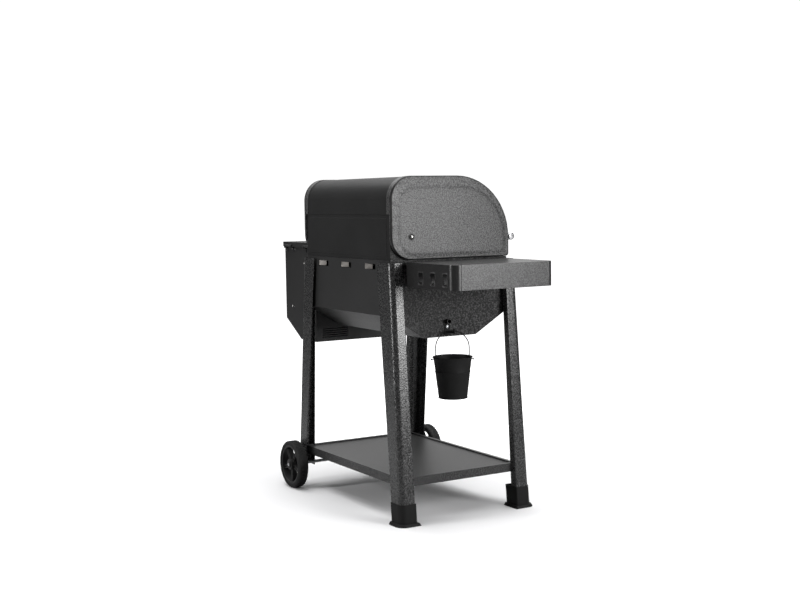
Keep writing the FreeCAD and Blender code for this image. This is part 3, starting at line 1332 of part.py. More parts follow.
def chamber_insides():
    """The heat deflector, sloped drip tray, two grates, warming rack and temperature probe."""
    low_edge = "deflector_level - deflector_thickness"
    deflector = slab("YZ_Plane", "-deflector_half_length", "2 * deflector_half_length", [
        ("-deflector_half_width", "deflector_level"),
        ("-deflector_half_width", low_edge),
        ("0", low_edge + " + deflector_ridge"),
        ("deflector_half_width", low_edge),
        ("deflector_half_width", "deflector_level"),
        ("0", "deflector_level + deflector_ridge"),
    ])
    stays = []
    for across in ("-stay_reach", "stay_reach - stay_size"):
        for along in ("-(half_depth - stay_inset)", "half_depth - stay_inset - stay_size"):
            stays.append(block(across, along, "box_shoulder - stay_drop", "stay_size", "stay_size",
                               "deflector_level - box_shoulder + stay_drop - deflector_thickness"))
    finished(join([deflector] + stays), "heat_deflector")

    half = "(half_box - plate_gauge - drip_tray_end_gap)"
    low_end = "drip_tray_level - drip_tray_fall"
    tray = slab("XZ_Plane", "-(half_depth - drip_tray_gap)", "box_depth - 2 * drip_tray_gap", [
        ("-" + half, low_end),
        (half, "drip_tray_level"),
        (half, "drip_tray_level + drip_tray_gauge"),
        ("-" + half, low_end + " + drip_tray_gauge"),
    ])
    walls = []
    for along in ("-(half_depth - drip_tray_gap)", "half_depth - drip_tray_gap - drip_tray_gauge"):
        walls.append(block("-" + half, along, low_end, "2 * " + half, "drip_tray_gauge",
                           "drip_tray_fall + drip_tray_wall"))
    finished(join([tray] + walls), "drip_tray")

    for name, start in (("cooking_grate_left", "-(half_box - plate_gauge - grate_gap)"),
                        ("cooking_grate_right", "grate_half_gap")):
        span = "half_box - plate_gauge - grate_gap - grate_half_gap"
        reach = "half_depth - sheet_gauge - grate_gap"
        wires = [
            rod("x", start, "-(%s)" % reach, "grate_level - grate_wire", "grate_wire", span),
            rod("x", start, reach, "grate_level - grate_wire", "grate_wire", span),
            rod("x", start, "0", "grate_level - 2.5 * grate_wire", "grate_wire", span),
        ]
        count = int((size(span) - 2 * size("grate_wire")) / size("grate_pitch"))
        for number in range(count + 1):
            across = "%s + grate_wire + %d * (%s - 2 * grate_wire) / %d" % (start, number, span, count)
            wires.append(rod("y", across, "-(%s)" % reach, "grate_level - grate_wire", "grate_wire * 0.8",
                             "2 * (%s)" % reach))
        finished(join(wires), name)

    rack = []
    stands = []
    rack_start = "half_depth - rack_set_back - rack_depth"
    for along in ("0", "rack_depth"):
        rack.append(rod("x", "-(rack_half + rack_tail)", rack_start + " + " + along, "rack_level",
                        "grate_wire", "2 * (rack_half + rack_tail)"))
        for across in ("-rack_half", "rack_half"):
            stands.append(rod("z", across, rack_start + " + " + along, "grate_level", "grate_wire",
                              "rack_level - grate_level - grate_wire"))
    spaces = SIZES["rack_wires"] - 1
    for number in range(spaces + 1):
        rack.append(rod("y", "-rack_half + %d * 2 * rack_half / %d" % (number, spaces), rack_start,
                        "rack_level", "rack_wire", "rack_depth"))
    finished(group([join(rack)] + stands), "warming_rack")

    probe = join([
        rod("x", "-(half_box - plate_gauge)", "-probe_side", "probe_level", "probe_radius", "probe_length"),
        rod("x", "-(half_box - plate_gauge)", "-probe_side", "probe_level", "probe_collar_radius",
            "probe_radius"),
    ])
    finished(probe, "temperature_probe")


def drain_and_hook():
    """The grease drain spout and the hook that the bucket hangs from."""
    inner_face = "-(half_box - plate_gauge)"
    gutter_bottom = "drain_level - drain_radius"
    gutter = cut(
        block(inner_face, "bucket_offset - gutter_length / 2", gutter_bottom, "gutter_width",
              "gutter_length", "gutter_height"),
        block(inner_face + " + sheet_gauge", "bucket_offset - gutter_length / 2 + sheet_gauge",
              gutter_bottom + " + sheet_gauge", "gutter_width - 2 * sheet_gauge",
              "gutter_length - 2 * sheet_gauge", "gutter_height"),
    )
    pipe = rod("x", "-(half_box + drain_reach)", "bucket_offset", "drain_level", "drain_radius",
               "drain_reach + plate_gauge")
    bore = rod("x", "-(half_box + drain_reach + 1)", "bucket_offset", "drain_level",
               "drain_radius - sheet_gauge", "drain_reach + plate_gauge + sheet_gauge + 2")
    finished(cut(join([gutter, pipe]), bore), "drain_spout")
    plate = block("-(half_box + plate_gauge)", "bucket_offset - hook_plate_width / 2",
                  "hook_level - hook_plate_drop", "plate_gauge", "hook_plate_width", "hook_plate_height")
    arm = rod("x", "-hook_end", "bucket_offset", "hook_level", "hook_radius",
              "hook_end - half_box - plate_gauge / 2")
    tip = rod("z", "-hook_end", "bucket_offset", "hook_level", "hook_radius", "hook_tip_height")
    knee = document.addObject("Part::Sphere", "Knee")
    bind(knee, {
        "Radius": "hook_radius",
        "Placement.Base.x": "-hook_end",
        "Placement.Base.y": "bucket_offset",
        "Placement.Base.z": "hook_level",
    })
    screw = rod("x", "-(half_box + plate_gauge + hook_screw_height)", "bucket_offset",
                "hook_level + hook_screw_rise", "hook_screw_radius", "hook_screw_height")
    finished(join([plate, arm, tip, knee, screw]), "bucket_hook")


def hung(thing, label):
    """Places a piece of the bucket under the hook, with its bail turned towards the corner."""
    whole = group([thing])
    whole.Placement = FreeCAD.Placement(
        FreeCAD.Vector(), FreeCAD.Rotation(FreeCAD.Vector(0, 0, 1), -SIZES["bail_turn"]))
    bind(whole, {"Placement.Base.x": "-bucket_reach", "Placement.Base.y": "bucket_offset"})
    finished(whole, label)


def grease_bucket():
    """The tapered bucket with its rolled rim and bead, and the wire bail that hooks into its wall."""
    height = "bucket_rim - bucket_base"
    top_radius = "bucket_rim_radius - bucket_rim_sink"
    outside = cone("z", "0", "0", "bucket_base", "bucket_base_radius", top_radius, height)
    inside = cone("z", "0", "0", "bucket_base + bucket_wall", "bucket_base_radius - bucket_wall",
                  top_radius + " - bucket_wall", height)
    rim = ring("z", "0", "0", "bucket_rim", "bucket_rim_radius - bucket_rim_wire", "bucket_rim_wire")
    bead = ring("z", "0", "0", "bucket_rim - bucket_bead_drop", "bucket_rim_radius - bucket_bead_inset",
                "bucket_bead_wire")
    chime = ring("z", "0", "0", "bucket_base + bucket_chime_rise",
                 "bucket_base_radius + bucket_chime_grow", "bucket_bead_wire")
    hole = rod("y", "0", "-2 * bucket_rim_radius", "bail_level", "bail_wire + moving_gap",
               "4 * bucket_rim_radius")
    hung(cut(join([cut(outside, inside), rim, cut(bead, inside), cut(chime, inside)]), hole), "bucket")

    arch = document.addObject("Part::Torus", "Arch")
    arch.Angle3 = 180
    upright = FreeCAD.Rotation(
        FreeCAD.Vector(0, 1, 0), FreeCAD.Vector(0, 0, 1), FreeCAD.Vector(1, 0, 0), "XYZ")
    arch.Placement = FreeCAD.Placement(FreeCAD.Vector(), upright)
    bind(arch, {"Radius1": "bail_radius", "Radius2": "bail_wire",
                "Placement.Base.z": "bail_top - bail_radius"})
    wires = [arch]
    for face, start in ((-1, "-bucket_rim_radius - bail_end_length"), (1, "bail_radius")):
        along = "%d * bail_radius" % face
        wires.append(rod("z", "0", along, "bail_level", "bail_wire", "bail_top - bail_radius - bail_level"))
        wires.append(rod("y", "0", start, "bail_level", "bail_wire",
                         "bucket_rim_radius + bail_end_length - bail_radius"))
        for place, radius in ((along, "bail_wire"),
                              ("%d * (bucket_rim_radius + bail_end_length)" % face, "bail_knob_radius")):
            ball = document.addObject("Part::Sphere", "Ball")
            bind(ball, {"Radius": radius, "Placement.Base.y": place, "Placement.Base.z": "bail_level"})
            wires.append(ball)
    hung(join(wires), "bail")


def controls():
    """The control panel on the hopper's front, with its display, knob, keys and switch."""
    left = "panel_middle - panel_width / 2"
    front = "-(hopper_front + panel_thickness)"
    panel = block(left, front, "panel_bottom", "panel_width", "panel_thickness", "panel_height")
    lens = block(left + " + lens_left", front + " - lens_proud", "panel_bottom + lens_rise",
                 "lens_width", "lens_thickness", "lens_height")
    knob_x = left + " + knob_left"
    knob_z = "panel_bottom + knob_rise"
    keys = ((left + " + button_first", "button_down"), (left + " + button_second", "button_up"))
    key_z = "panel_bottom + button_rise"
    switch_x = left + " + switch_left"
    switch_z = "panel_bottom + switch_rise"
    tools = [
        block(left + " + lens_left", front + " - 1", "panel_bottom + lens_rise",
              "lens_width", "lens_thickness - lens_proud + 1", "lens_height"),
        rod("y", knob_x, front + " - 1", knob_z, "knob_shaft_radius + pivot_gap", "panel_thickness"),
        block(switch_x, front + " - 1", switch_z, "switch_width", "panel_thickness", "switch_height"),
    ]
    for across, name in keys:
        tools.append(rod("y", across, front + " - 1", key_z, "button_radius + moving_gap", "panel_thickness"))
        finished(rod("y", across, front + " - button_height", key_z, "button_radius",
                     "button_height + panel_thickness - button_clearance - button_travel"), name)
    finished(cut_all(panel, tools), "control_panel")
    finished(lens, "display_lens")
    knob_front = front + " - moving_gap - knob_height"
    grip = cone("y", knob_x, knob_front, knob_z, "knob_radius - knob_taper", "knob_radius", "knob_height")
    mark = block(knob_x + " - knob_mark_width / 2", knob_front + " - 1", knob_z + " + knob_mark_start",
                 "knob_mark_width", "2", "knob_mark_length")
    shaft = rod("y", knob_x, front + " - moving_gap - 1", knob_z, "knob_shaft_radius",
                "moving_gap + knob_shaft_length")
    finished(join([grip, mark, shaft]), "control_knob")
    rocker = block(switch_x + " + switch_gap", front + " - switch_proud", switch_z + " + switch_gap",
                   "switch_width - 2 * switch_gap", "switch_depth", "switch_height - 2 * switch_gap")
    finished(rocker, "power_switch")


def power_inlet():
    """The mains inlet in the hopper's rear wall, with its three contact blades."""
    bezel = block("inlet_start - inlet_bezel_side", "hopper_back", "inlet_bottom - inlet_bezel_edge",
                  "inlet_width + 2 * inlet_bezel_side", "inlet_bezel", "inlet_height + 2 * inlet_bezel_edge")
    socket = block("inlet_start", "hopper_back - inlet_depth", "inlet_bottom", "inlet_width",
                   "inlet_depth + 1", "inlet_height")
    recess = block("inlet_start + inlet_wall", "hopper_back - inlet_depth + inlet_wall",
                   "inlet_bottom + inlet_wall", "inlet_width - 2 * inlet_wall", "inlet_depth + inlet_bezel",
                   "inlet_height - 2 * inlet_wall")
    middle = "inlet_start + inlet_width / 2 - inlet_blade / 2"
    blades = []
    for step in (-1, 0, 1):
        blades.append(block("%s + %d * inlet_blade_pitch" % (middle, step), "hopper_back - inlet_depth + 2",
                            "inlet_bottom + inlet_height / 2 - inlet_blade_height / 2", "inlet_blade",
                            "inlet_depth - inlet_blade_clearance", "inlet_blade_height"))
    finished(join([cut(join([bezel, socket]), recess)] + blades), "power_inlet")


# Across from the hopper's inner wall and down from its rim.
HOPPER_SCREWS = ((55.0, 19.0), (171.0, 19.0), (199.0, 18.0), (97.0, 75.0), (207.0, 247.0))


def hopper_screws():
    """The screws in the hopper's rear wall."""
    screws = []
    for across, drop in HOPPER_SCREWS:
        screws.append(rod("y", "hopper_start + %s" % across, "hopper_back", "hopper_top - %s" % drop,
                          "screw_radius", "screw_height"))
    finished(group(screws), "hopper_screws")


cook_box()
exhaust_scoops()
end_plates()
rear_panel()
lid()
lid_pivots()
legs()
feet()
axle_and_wheels()
low_shelf()
frame_bolts()
side_shelf()
hopper()
feed_and_fire()
chamber_insides()
drain_and_hook()
grease_bucket()
controls()
power_inlet()
hopper_screws()
document.recompute()

for thing in document.Objects:
    if "Invalid" in thing.State or "Error" in thing.State:
        raise SystemExit("%s (%s) failed: %s" % (thing.Label, thing.Name, thing.State))
os.makedirs("parts", exist_ok=True)
for part in sub_parts:
    shape = part.Shape
    if shape.isNull() or not shape.isValid():
        raise SystemExit(part.Label + " has no valid shape")
    shape.exportStep("parts/%s.step" % part.Label)
    box = shape.BoundBox
    print("%-22s solids %2d  x %7.1f %7.1f  y %7.1f %7.1f  z %7.1f %7.1f" % (
        part.Label, len(shape.Solids), box.XMin, box.XMax, box.YMin, box.YMax, box.ZMin, box.ZMax))
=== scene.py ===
"""The looks of the wood-pellet grill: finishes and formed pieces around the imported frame."""

import json
import math

import bmesh
import bpy
from mathutils import Matrix, Vector


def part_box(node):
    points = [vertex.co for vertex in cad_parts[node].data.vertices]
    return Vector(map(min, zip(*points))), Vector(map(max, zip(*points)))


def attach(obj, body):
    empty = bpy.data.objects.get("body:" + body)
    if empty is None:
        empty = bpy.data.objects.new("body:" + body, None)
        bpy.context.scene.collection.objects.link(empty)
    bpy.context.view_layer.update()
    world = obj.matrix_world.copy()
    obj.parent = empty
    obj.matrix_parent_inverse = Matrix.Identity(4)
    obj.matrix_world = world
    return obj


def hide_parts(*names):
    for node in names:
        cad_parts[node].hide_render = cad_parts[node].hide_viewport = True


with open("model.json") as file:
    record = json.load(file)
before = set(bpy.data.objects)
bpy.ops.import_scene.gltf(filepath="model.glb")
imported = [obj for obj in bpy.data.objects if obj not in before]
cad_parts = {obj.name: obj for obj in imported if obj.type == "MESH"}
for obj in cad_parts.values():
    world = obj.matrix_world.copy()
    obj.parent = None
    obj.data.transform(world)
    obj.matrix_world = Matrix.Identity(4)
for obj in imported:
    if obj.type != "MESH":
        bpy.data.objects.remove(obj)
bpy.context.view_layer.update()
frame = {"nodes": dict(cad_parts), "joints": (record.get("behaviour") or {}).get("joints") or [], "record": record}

MM = 0.001
SIDES = (("left", -1), ("right", 1))
JOINTS = {joint["name"]: joint for joint in frame["joints"]}
SLOTS = {entry["node"]: entry["material_slot"] for entry in frame["record"]["subparts"]}


# ---------------------------------------------------------------- measures read from the frame

def low(node):
    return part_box(node)[0]


def high(node):
    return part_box(node)[1]


def middle(node):
    return (low(node) + high(node)) / 2


def in_mm(pairs):
    """Points of a profile that are given in millimetres."""
    return [(along * MM, radius * MM) for along, radius in pairs]


# ---------------------------------------------------------------- finishes

NOISE_LOW = 0.3         # noise values mostly lie between these two
NOISE_HIGH = 0.7
PATCH_SIZE = 0.2        # size of the slow changes of tone over a painted face
BEVEL_SAMPLES = 4
FLAT_TURN = 0.98        # a bevelled normal's cosine to the face's own, on a flat
EDGE_TURN = 0.75        # and at an edge
# reach of the lightened edge band: partly rubbed paint, partly a painted edge highlight
EDGE_WEAR_AND_HIGHLIGHT_RADIUS = 1.2 * MM


def add_node(tree, kind, **values):
    """A shader node with its sockets set by name, underscores standing for spaces."""
    made = tree.nodes.new(kind)
    for name, value in values.items():
        made.inputs[name.replace("_", " ")].default_value = value
    return made


def ranged(tree, source, start, end, first, last):
    """Maps a value from one range to another."""
    made = add_node(tree, "ShaderNodeMapRange", From_Min=start, From_Max=end, To_Min=first, To_Max=last)
    tree.links.new(source, made.inputs["Value"])
    return made.outputs["Result"]


def blended(tree, factor, first, last, kind="MIX"):
    """Mixes two colours, each a socket or a plain grey or RGB value."""
    made = tree.nodes.new("ShaderNodeMix")
    made.data_type = "RGBA"
    made.blend_type = kind
    for socket, value in ((made.inputs[0], factor), (made.inputs[6], first), (made.inputs[7], last)):
        if isinstance(value, bpy.types.NodeSocket):
            tree.links.new(value, socket)
        elif isinstance(value, tuple):
            socket.default_value = (*value, 1)
        else:
            socket.default_value = value
    return made.outputs[2]


def grain(tree, size, detail=2.0, roughness=0.6):
    """Cloudy noise whose lumps are about one size across, fixed to the piece."""
    place = tree.nodes.new("ShaderNodeTexCoord")
    made = add_node(tree, "ShaderNodeTexNoise", Scale=1 / size, Detail=detail, Roughness=roughness)
    tree.links.new(place.outputs["Object"], made.inputs["Vector"])
    return made.outputs["Fac"]


def edge_mask(tree, radius):
    """About 1 on outside edges and corners and 0 on flats, from how far a bevelled normal turns."""
    bevel = add_node(tree, "ShaderNodeBevel", Radius=radius)
    bevel.samples = BEVEL_SAMPLES
    flat = tree.nodes.new("ShaderNodeNewGeometry")
    dot = tree.nodes.new("ShaderNodeVectorMath")
    dot.operation = "DOT_PRODUCT"
    tree.links.new(bevel.outputs["Normal"], dot.inputs[0])
    tree.links.new(flat.outputs["Normal"], dot.inputs[1])
    return ranged(tree, dot.outputs["Value"], FLAT_TURN, EDGE_TURN, 0.0, 1.0)


def bumped(tree, shader, height, depth):
    """Lets a height socket raise the shaded surface by up to a depth."""
    bump = add_node(tree, "ShaderNodeBump", Strength=1.0, Distance=depth)
    tree.links.new(height, bump.inputs["Height"])
    tree.links.new(bump.outputs["Normal"], shader.inputs["Normal"])


def new_finish(name, **constants):
    """A material with constants on its shader; gives the material, its node tree and its shader."""
    made = bpy.data.materials.new(name)
    made.use_nodes = True
    shader = made.node_tree.nodes["Principled BSDF"]
    for key, value in constants.items():
        shader.inputs[key.replace("_", " ")].default_value = value
    return made, made.node_tree, shader


def coated(name, dark, light, lump, depth, rough, spread=0.12, edge_wear_and_highlight=0.0, sheen=None, **constants):
    """Sprayed or moulded surface: granular colour and sheen, patchy tone, matching bump, and edges lightened
    partly as rubbed paint and partly as a painted highlight.
    """
    made, tree, shader = new_finish(name, **constants)
    fine = grain(tree, lump, 3.0, 0.65)
    patches = ranged(tree, grain(tree, 1.1 * PATCH_SIZE, 3.0), NOISE_LOW, NOISE_HIGH, 0.86, 1.12)
    colour = blended(tree, ranged(tree, fine, 0.5 - spread, 0.5 + spread, 0.0, 1.0), dark, light)
    colour = blended(tree, 1.0, colour, patches, "MULTIPLY")
    # lighter edges: partly rubbed paint, partly a painted highlight along the edges
    if edge_wear_and_highlight:
        worn_and_highlit_colour = tuple(min(1.0, 2.2 * part + 0.02) for part in light)
        share = ranged(tree, edge_mask(tree, EDGE_WEAR_AND_HIGHLIGHT_RADIUS), 0.0, 1.0, 0.0, edge_wear_and_highlight)
        colour = blended(tree, share, colour, worn_and_highlit_colour)
    tree.links.new(colour, shader.inputs["Base Color"])
    gloss = ranged(tree, fine, NOISE_LOW, NOISE_HIGH, rough - 0.05, rough + 0.07)
    tree.links.new(gloss, shader.inputs["Roughness"])
    if sheen:
        glints = ranged(tree, fine, 0.5 - spread, 0.5 + spread, *sheen)
        tree.links.new(glints, shader.inputs["Specular IOR Level"])
    bumped(tree, shader, fine, depth)
    return made


def hammered(name, dark, light, cell, depth, rough, sheen):
    """Hammertone paint: shallow dimples, bright flecks on their ridges and a patchy sheen."""
    made, tree, shader = new_finish(name)
    place = tree.nodes.new("ShaderNodeTexCoord")
    dimples = add_node(tree, "ShaderNodeTexVoronoi", Scale=1 / cell, Randomness=1.0)
    tree.links.new(place.outputs["Object"], dimples.inputs["Vector"])
    dapple = grain(tree, cell * 1.5, 3.0, 0.7)
    speck = ranged(tree, dapple, 0.46, 0.66, 0.0, 1.0)
    ridges = ranged(tree, dimples.outputs["Distance"], 0.1, 0.75, 0.0, 1.0)
    colour = blended(tree, speck, dark, light)
    colour = blended(tree, 1.0, colour, ranged(tree, ridges, 0.0, 1.0, 0.8, 1.25), "MULTIPLY")
    patches = ranged(tree, grain(tree, 0.9 * PATCH_SIZE, 2.0), NOISE_LOW, NOISE_HIGH, 0.85, 1.15)
    colour = blended(tree, 1.0, colour, patches, "MULTIPLY")
    tree.links.new(colour, shader.inputs["Base Color"])
    gloss = ranged(tree, dapple, NOISE_LOW, NOISE_HIGH, rough - 0.08, rough + 0.1)
    tree.links.new(gloss, shader.inputs["Roughness"])
    tree.links.new(ranged(tree, speck, 0.0, 1.0, *sheen), shader.inputs["Specular IOR Level"])
    bumped(tree, shader, blended(tree, 0.5, ridges, dapple), depth)
    return made


def bare_metal(name, colour, rough, streak=(1, 1, 1), depth=0.02 * MM, stain=0.8):
    """Bare or plated metal with brushed streaks, smudges and slightly uneven gloss."""
    made, tree, shader = new_finish(name, Metallic=1.0)
    place = tree.nodes.new("ShaderNodeTexCoord")
    stretch = add_node(tree, "ShaderNodeMapping", Scale=streak)
    brushed = add_node(tree, "ShaderNodeTexNoise", Scale=900.0, Detail=2.0)
    tree.links.new(place.outputs["Object"], stretch.inputs["Vector"])
    tree.links.new(stretch.outputs["Vector"], brushed.inputs["Vector"])
    smudge = grain(tree, 0.03, 4.0)
    dull = tuple(stain * part for part in colour)
    tone = blended(tree, ranged(tree, smudge, 0.35, 0.7, 0.0, 1.0), colour, dull)
    tree.links.new(tone, shader.inputs["Base Color"])
    smeared = ranged(tree, smudge, NOISE_LOW, NOISE_HIGH, rough - 0.06, rough + 0.12)
    streaked = ranged(tree, brushed.outputs["Fac"], NOISE_LOW, NOISE_HIGH, rough - 0.06, rough + 0.1)
    gloss = blended(tree, 0.5, smeared, streaked)
    tree.links.new(gloss, shader.inputs["Roughness"])
    bumped(tree, shader, brushed.outputs["Fac"], depth)
    return made


def grey(level):
    """A hardly bluish grey."""
    return (level, level, level * 1.01)


def make_finishes():
    """One finish for each material slot in the record."""
    return {
        "lid_paint": coated("satin_black_enamel", grey(0.014), grey(0.019), 1.1 * MM, 0.010 * MM, 0.40,
                            edge_wear_and_highlight=0.25, Specular_IOR_Level=0.14),
        "body_paint": coated("satin_black_body", grey(0.014), grey(0.019), 1.2 * MM, 0.012 * MM, 0.42,
                             edge_wear_and_highlight=0.25, Specular_IOR_Level=0.4),
        "hopper_paint": coated("satin_black_hopper", grey(0.013), grey(0.018), 1.2 * MM, 0.012 * MM, 0.42,
                               edge_wear_and_highlight=0.25, Specular_IOR_Level=0.4),
        "cap_paint": coated("charcoal_powder_coat", grey(0.012), grey(0.068), 4.0 * MM, 0.50 * MM, 0.40,
                            spread=0.11, edge_wear_and_highlight=0.2, sheen=(0.26, 0.72)),
        "shelf_paint": coated("charcoal_shelf_coat", grey(0.012), grey(0.055), 4.2 * MM, 0.40 * MM, 0.37,
                              spread=0.12, edge_wear_and_highlight=0.5, sheen=(0.28, 0.54)),
        "hammered_paint": hammered("hammertone_paint", grey(0.010), grey(0.045), 3.6 * MM, 0.45 * MM, 0.26,
                                   (0.62, 1.0)),
        "bucket_enamel": coated("matte_bucket_enamel", grey(0.008), grey(0.011), 1.5 * MM, 0.015 * MM, 0.6,
                                edge_wear_and_highlight=0.2, Specular_IOR_Level=0.15),
        "boot_plastic": coated("moulded_boot_plastic", grey(0.007), grey(0.010), 0.9 * MM, 0.03 * MM, 0.58,
                               edge_wear_and_highlight=0.15, Specular_IOR_Level=0.18),
        "wheel_plastic": coated("moulded_wheel_plastic", grey(0.012), grey(0.017), 0.9 * MM, 0.03 * MM, 0.5,
                                edge_wear_and_highlight=0.15),
        "panel_plastic": coated("moulded_panel_plastic", grey(0.015), grey(0.021), 0.7 * MM, 0.02 * MM, 0.45,
                                edge_wear_and_highlight=0.1),
        "tyre_rubber": coated("tyre_rubber", grey(0.009), grey(0.014), 1.0 * MM, 0.04 * MM, 0.64, edge_wear_and_highlight=0.2,
                              Specular_IOR_Level=0.25),
        "key_rubber": coated("soft_key_rubber", grey(0.10), grey(0.13), 0.8 * MM, 0.02 * MM, 0.7),
        "grate_iron": coated("enamelled_grate_wire", grey(0.018), grey(0.03), 1.4 * MM, 0.05 * MM, 0.42,
                             edge_wear_and_highlight=0.2),
        "stainless": bare_metal("brushed_stainless", (0.72, 0.71, 0.69), 0.24, (1, 6, 0.2)),
        "handle_chrome": bare_metal("polished_handle_steel", (0.44, 0.44, 0.45), 0.26, (0.1, 3, 3),
                                    0.004 * MM, 0.92),
        "zinc_steel": bare_metal("zinc_plate", (0.55, 0.56, 0.58), 0.34, (1, 1, 1), 0.02 * MM, 0.7),
        "raw_steel": bare_metal("mill_steel", (0.36, 0.34, 0.32), 0.45, (0.3, 4, 4), 0.03 * MM, 0.55),
        "lens_glass": coated("tinted_display_window", (0.01, 0.014, 0.016), (0.012, 0.018, 0.02), 6 * MM,
                             0.002 * MM, 0.12, Coat_Weight=0.6, Coat_Roughness=0.05),
    }


FINISHES = make_finishes()
# a darker, duller copy of the hammertone for the end plates: painted shade for the side shelf's shadow over them
PAINTED_SHADE_PLATE = hammered("hammertone_plate_painted_shade", grey(0.006), grey(0.045), 3.6 * MM, 0.6 * MM, 0.42,
                        (0.12, 0.38))
SMOOTH_SHELF = coated("satin_shelf_coat", grey(0.014), grey(0.018), 1.2 * MM, 0.012 * MM, 0.3,
                      edge_wear_and_highlight=0.4, Specular_IOR_Level=0.35)
NODE_FINISHES = {
    "end_plate_left": PAINTED_SHADE_PLATE,
    "end_plate_right": PAINTED_SHADE_PLATE,
    "side_shelf": SMOOTH_SHELF,
    "drain_spout": FINISHES["body_paint"],
    "exhaust_scoops": FINISHES["raw_steel"],
}


def paint_frame():
    """Gives each CAD node its own finish, or else the finish of its slot in the record."""
    for node, slot in SLOTS.items():
        mesh = frame["nodes"][node].data
        mesh.materials.clear()
        mesh.materials.append(NODE_FINISHES.get(node, FINISHES[slot]))


paint_frame()


# ---------------------------------------------------------------- softened edges on the frame

WELD_DISTANCE = 0.02 * MM
FLAT_ANGLE = math.radians(0.6)      # faces that turn less than this are one flat
EDGE_ANGLE = math.radians(38)       # edges that turn more than this are rounded


def soften(node, width):
    """Rounds a node's sharp edges, which catch the light as folded and moulded edges do."""
    weld = node.modifiers.new("weld", "WELD")
    weld.merge_threshold = WELD_DISTANCE
    flatten = node.modifiers.new("flatten", "DECIMATE")
    flatten.decimate_type = "DISSOLVE"
    flatten.angle_limit = FLAT_ANGLE
    bevel = node.modifiers.new("edge", "BEVEL")
    bevel.width = width
    bevel.segments = 2
    bevel.limit_method = "ANGLE"
    bevel.angle_limit = EDGE_ANGLE
    bevel.use_clamp_overlap = True
    node.modifiers.new("shade", "WEIGHTED_NORMAL").keep_sharp = False


# width of the rounded edge, in mm
EDGE_WIDTHS = {
    "lid_shell": 0.5, "rear_panel": 0.5, "cook_box_shell": 0.5, "end_plate_left": 0.6,
    "end_plate_right": 0.6, "leg_rear_left": 0.7, "leg_front_left": 0.7, "leg_rear_right": 0.7,
    "leg_front_right": 0.7, "foot_rear": 3.0, "foot_front": 3.0, "bottom_shelf": 1.2,
    "side_shelf": 0.7, "side_shelf_fascia": 0.6, "shelf_brackets": 0.6, "hopper_housing": 0.6,
    "hopper_lid": 0.7, "wheel_hub_rear": 0.8, "wheel_hub_front": 0.8, "control_panel": 1.0,
    "power_switch": 0.8, "button_down": 0.8, "button_up": 0.8, "hopper_screws": 0.9,
    "frame_bolts": 0.8, "axle_caps": 1.2, "handle_posts": 1.0, "hinge_spacers": 0.5,
    "drain_spout": 0.4, "axle": 1.0, "bucket_hook": 0.6, "power_inlet": 0.7, "auger_motor": 1.5,
    "fan_housing": 1.2, "hopper_hinge": 0.5, "exhaust_scoops": 0.3,
}
for edged, edge_width in EDGE_WIDTHS.items():
    soften(frame["nodes"][edged], edge_width * MM)


# ---------------------------------------------------------------- mesh building

JOIN_DISTANCE = 0.004 * MM
SHARP_ANGLE = math.radians(32)


def finished(name, mesh_work, body, slot, replaced=()):
    """Turns built geometry into a piece with its finish, riding on a body in place of some nodes."""
    bmesh.ops.remove_doubles(mesh_work, verts=mesh_work.verts, dist=JOIN_DISTANCE)
    bmesh.ops.recalc_face_normals(mesh_work, faces=mesh_work.faces)
    mesh = bpy.data.meshes.new(name)
    mesh_work.to_mesh(mesh)
    mesh_work.free()
    mesh.materials.append(FINISHES[slot])
    mesh.shade_smooth()
    mesh.set_sharp_from_angle(angle=SHARP_ANGLE)
    made = bpy.data.objects.new(name, mesh)
    bpy.context.scene.collection.objects.link(made)
    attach(made, body)
    if replaced:
        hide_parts(*replaced)


def skinned(mesh_work, loops, first=True, last=True, joined=False):
    """Skins a row of matching point loops, with a face over the first and last where asked."""
    rows = [[mesh_work.verts.new(point) for point in loop] for loop in loops]
    pairs = list(zip(rows, rows[1:]))
    if joined:
        pairs.append((rows[-1], rows[0]))
    count = len(rows[0])
    for here, there in pairs:
        for i in range(count):
            j = (i + 1) % count
            mesh_work.faces.new((here[i], here[j], there[j], there[i]))
    if first and not joined:
        mesh_work.faces.new(rows[0])
    if last and not joined:
        mesh_work.faces.new(rows[-1])


def turned(mesh_work, place, axis, profile, count=64, joined=False):
    """Spins a profile of (along, radius) pairs about an axis through a place."""
    axis = Vector(axis).normalized()
    side = axis.orthogonal().normalized()
    other = axis.cross(side)
    loops = []
    for along, radius in profile:
        centre = Vector(place) + axis * along
        angles = [2 * math.pi * i / count for i in range(count)]
        loops.append([centre + (side * math.cos(a) + other * math.sin(a)) * radius for a in angles])
    skinned(mesh_work, loops, joined=joined)


def bend(centre, radius, start, end, steps=8):
    """Points of an arc, its angles in degrees from the first axis towards the second."""
    found = []
    for i in range(steps + 1):
        angle = math.radians(start + (end - start) * i / steps)
        found.append((centre[0] + radius * math.cos(angle), centre[1] + radius * math.sin(angle)))
    return found


def dome(height, radius):
    """A profile from a dome's edge to near its tip, which is where along is 0."""
    angles = [math.radians(angle) for angle in range(0, 84, 7)]
    return [(height * (1 - math.sin(angle)), radius * math.cos(angle)) for angle in angles]


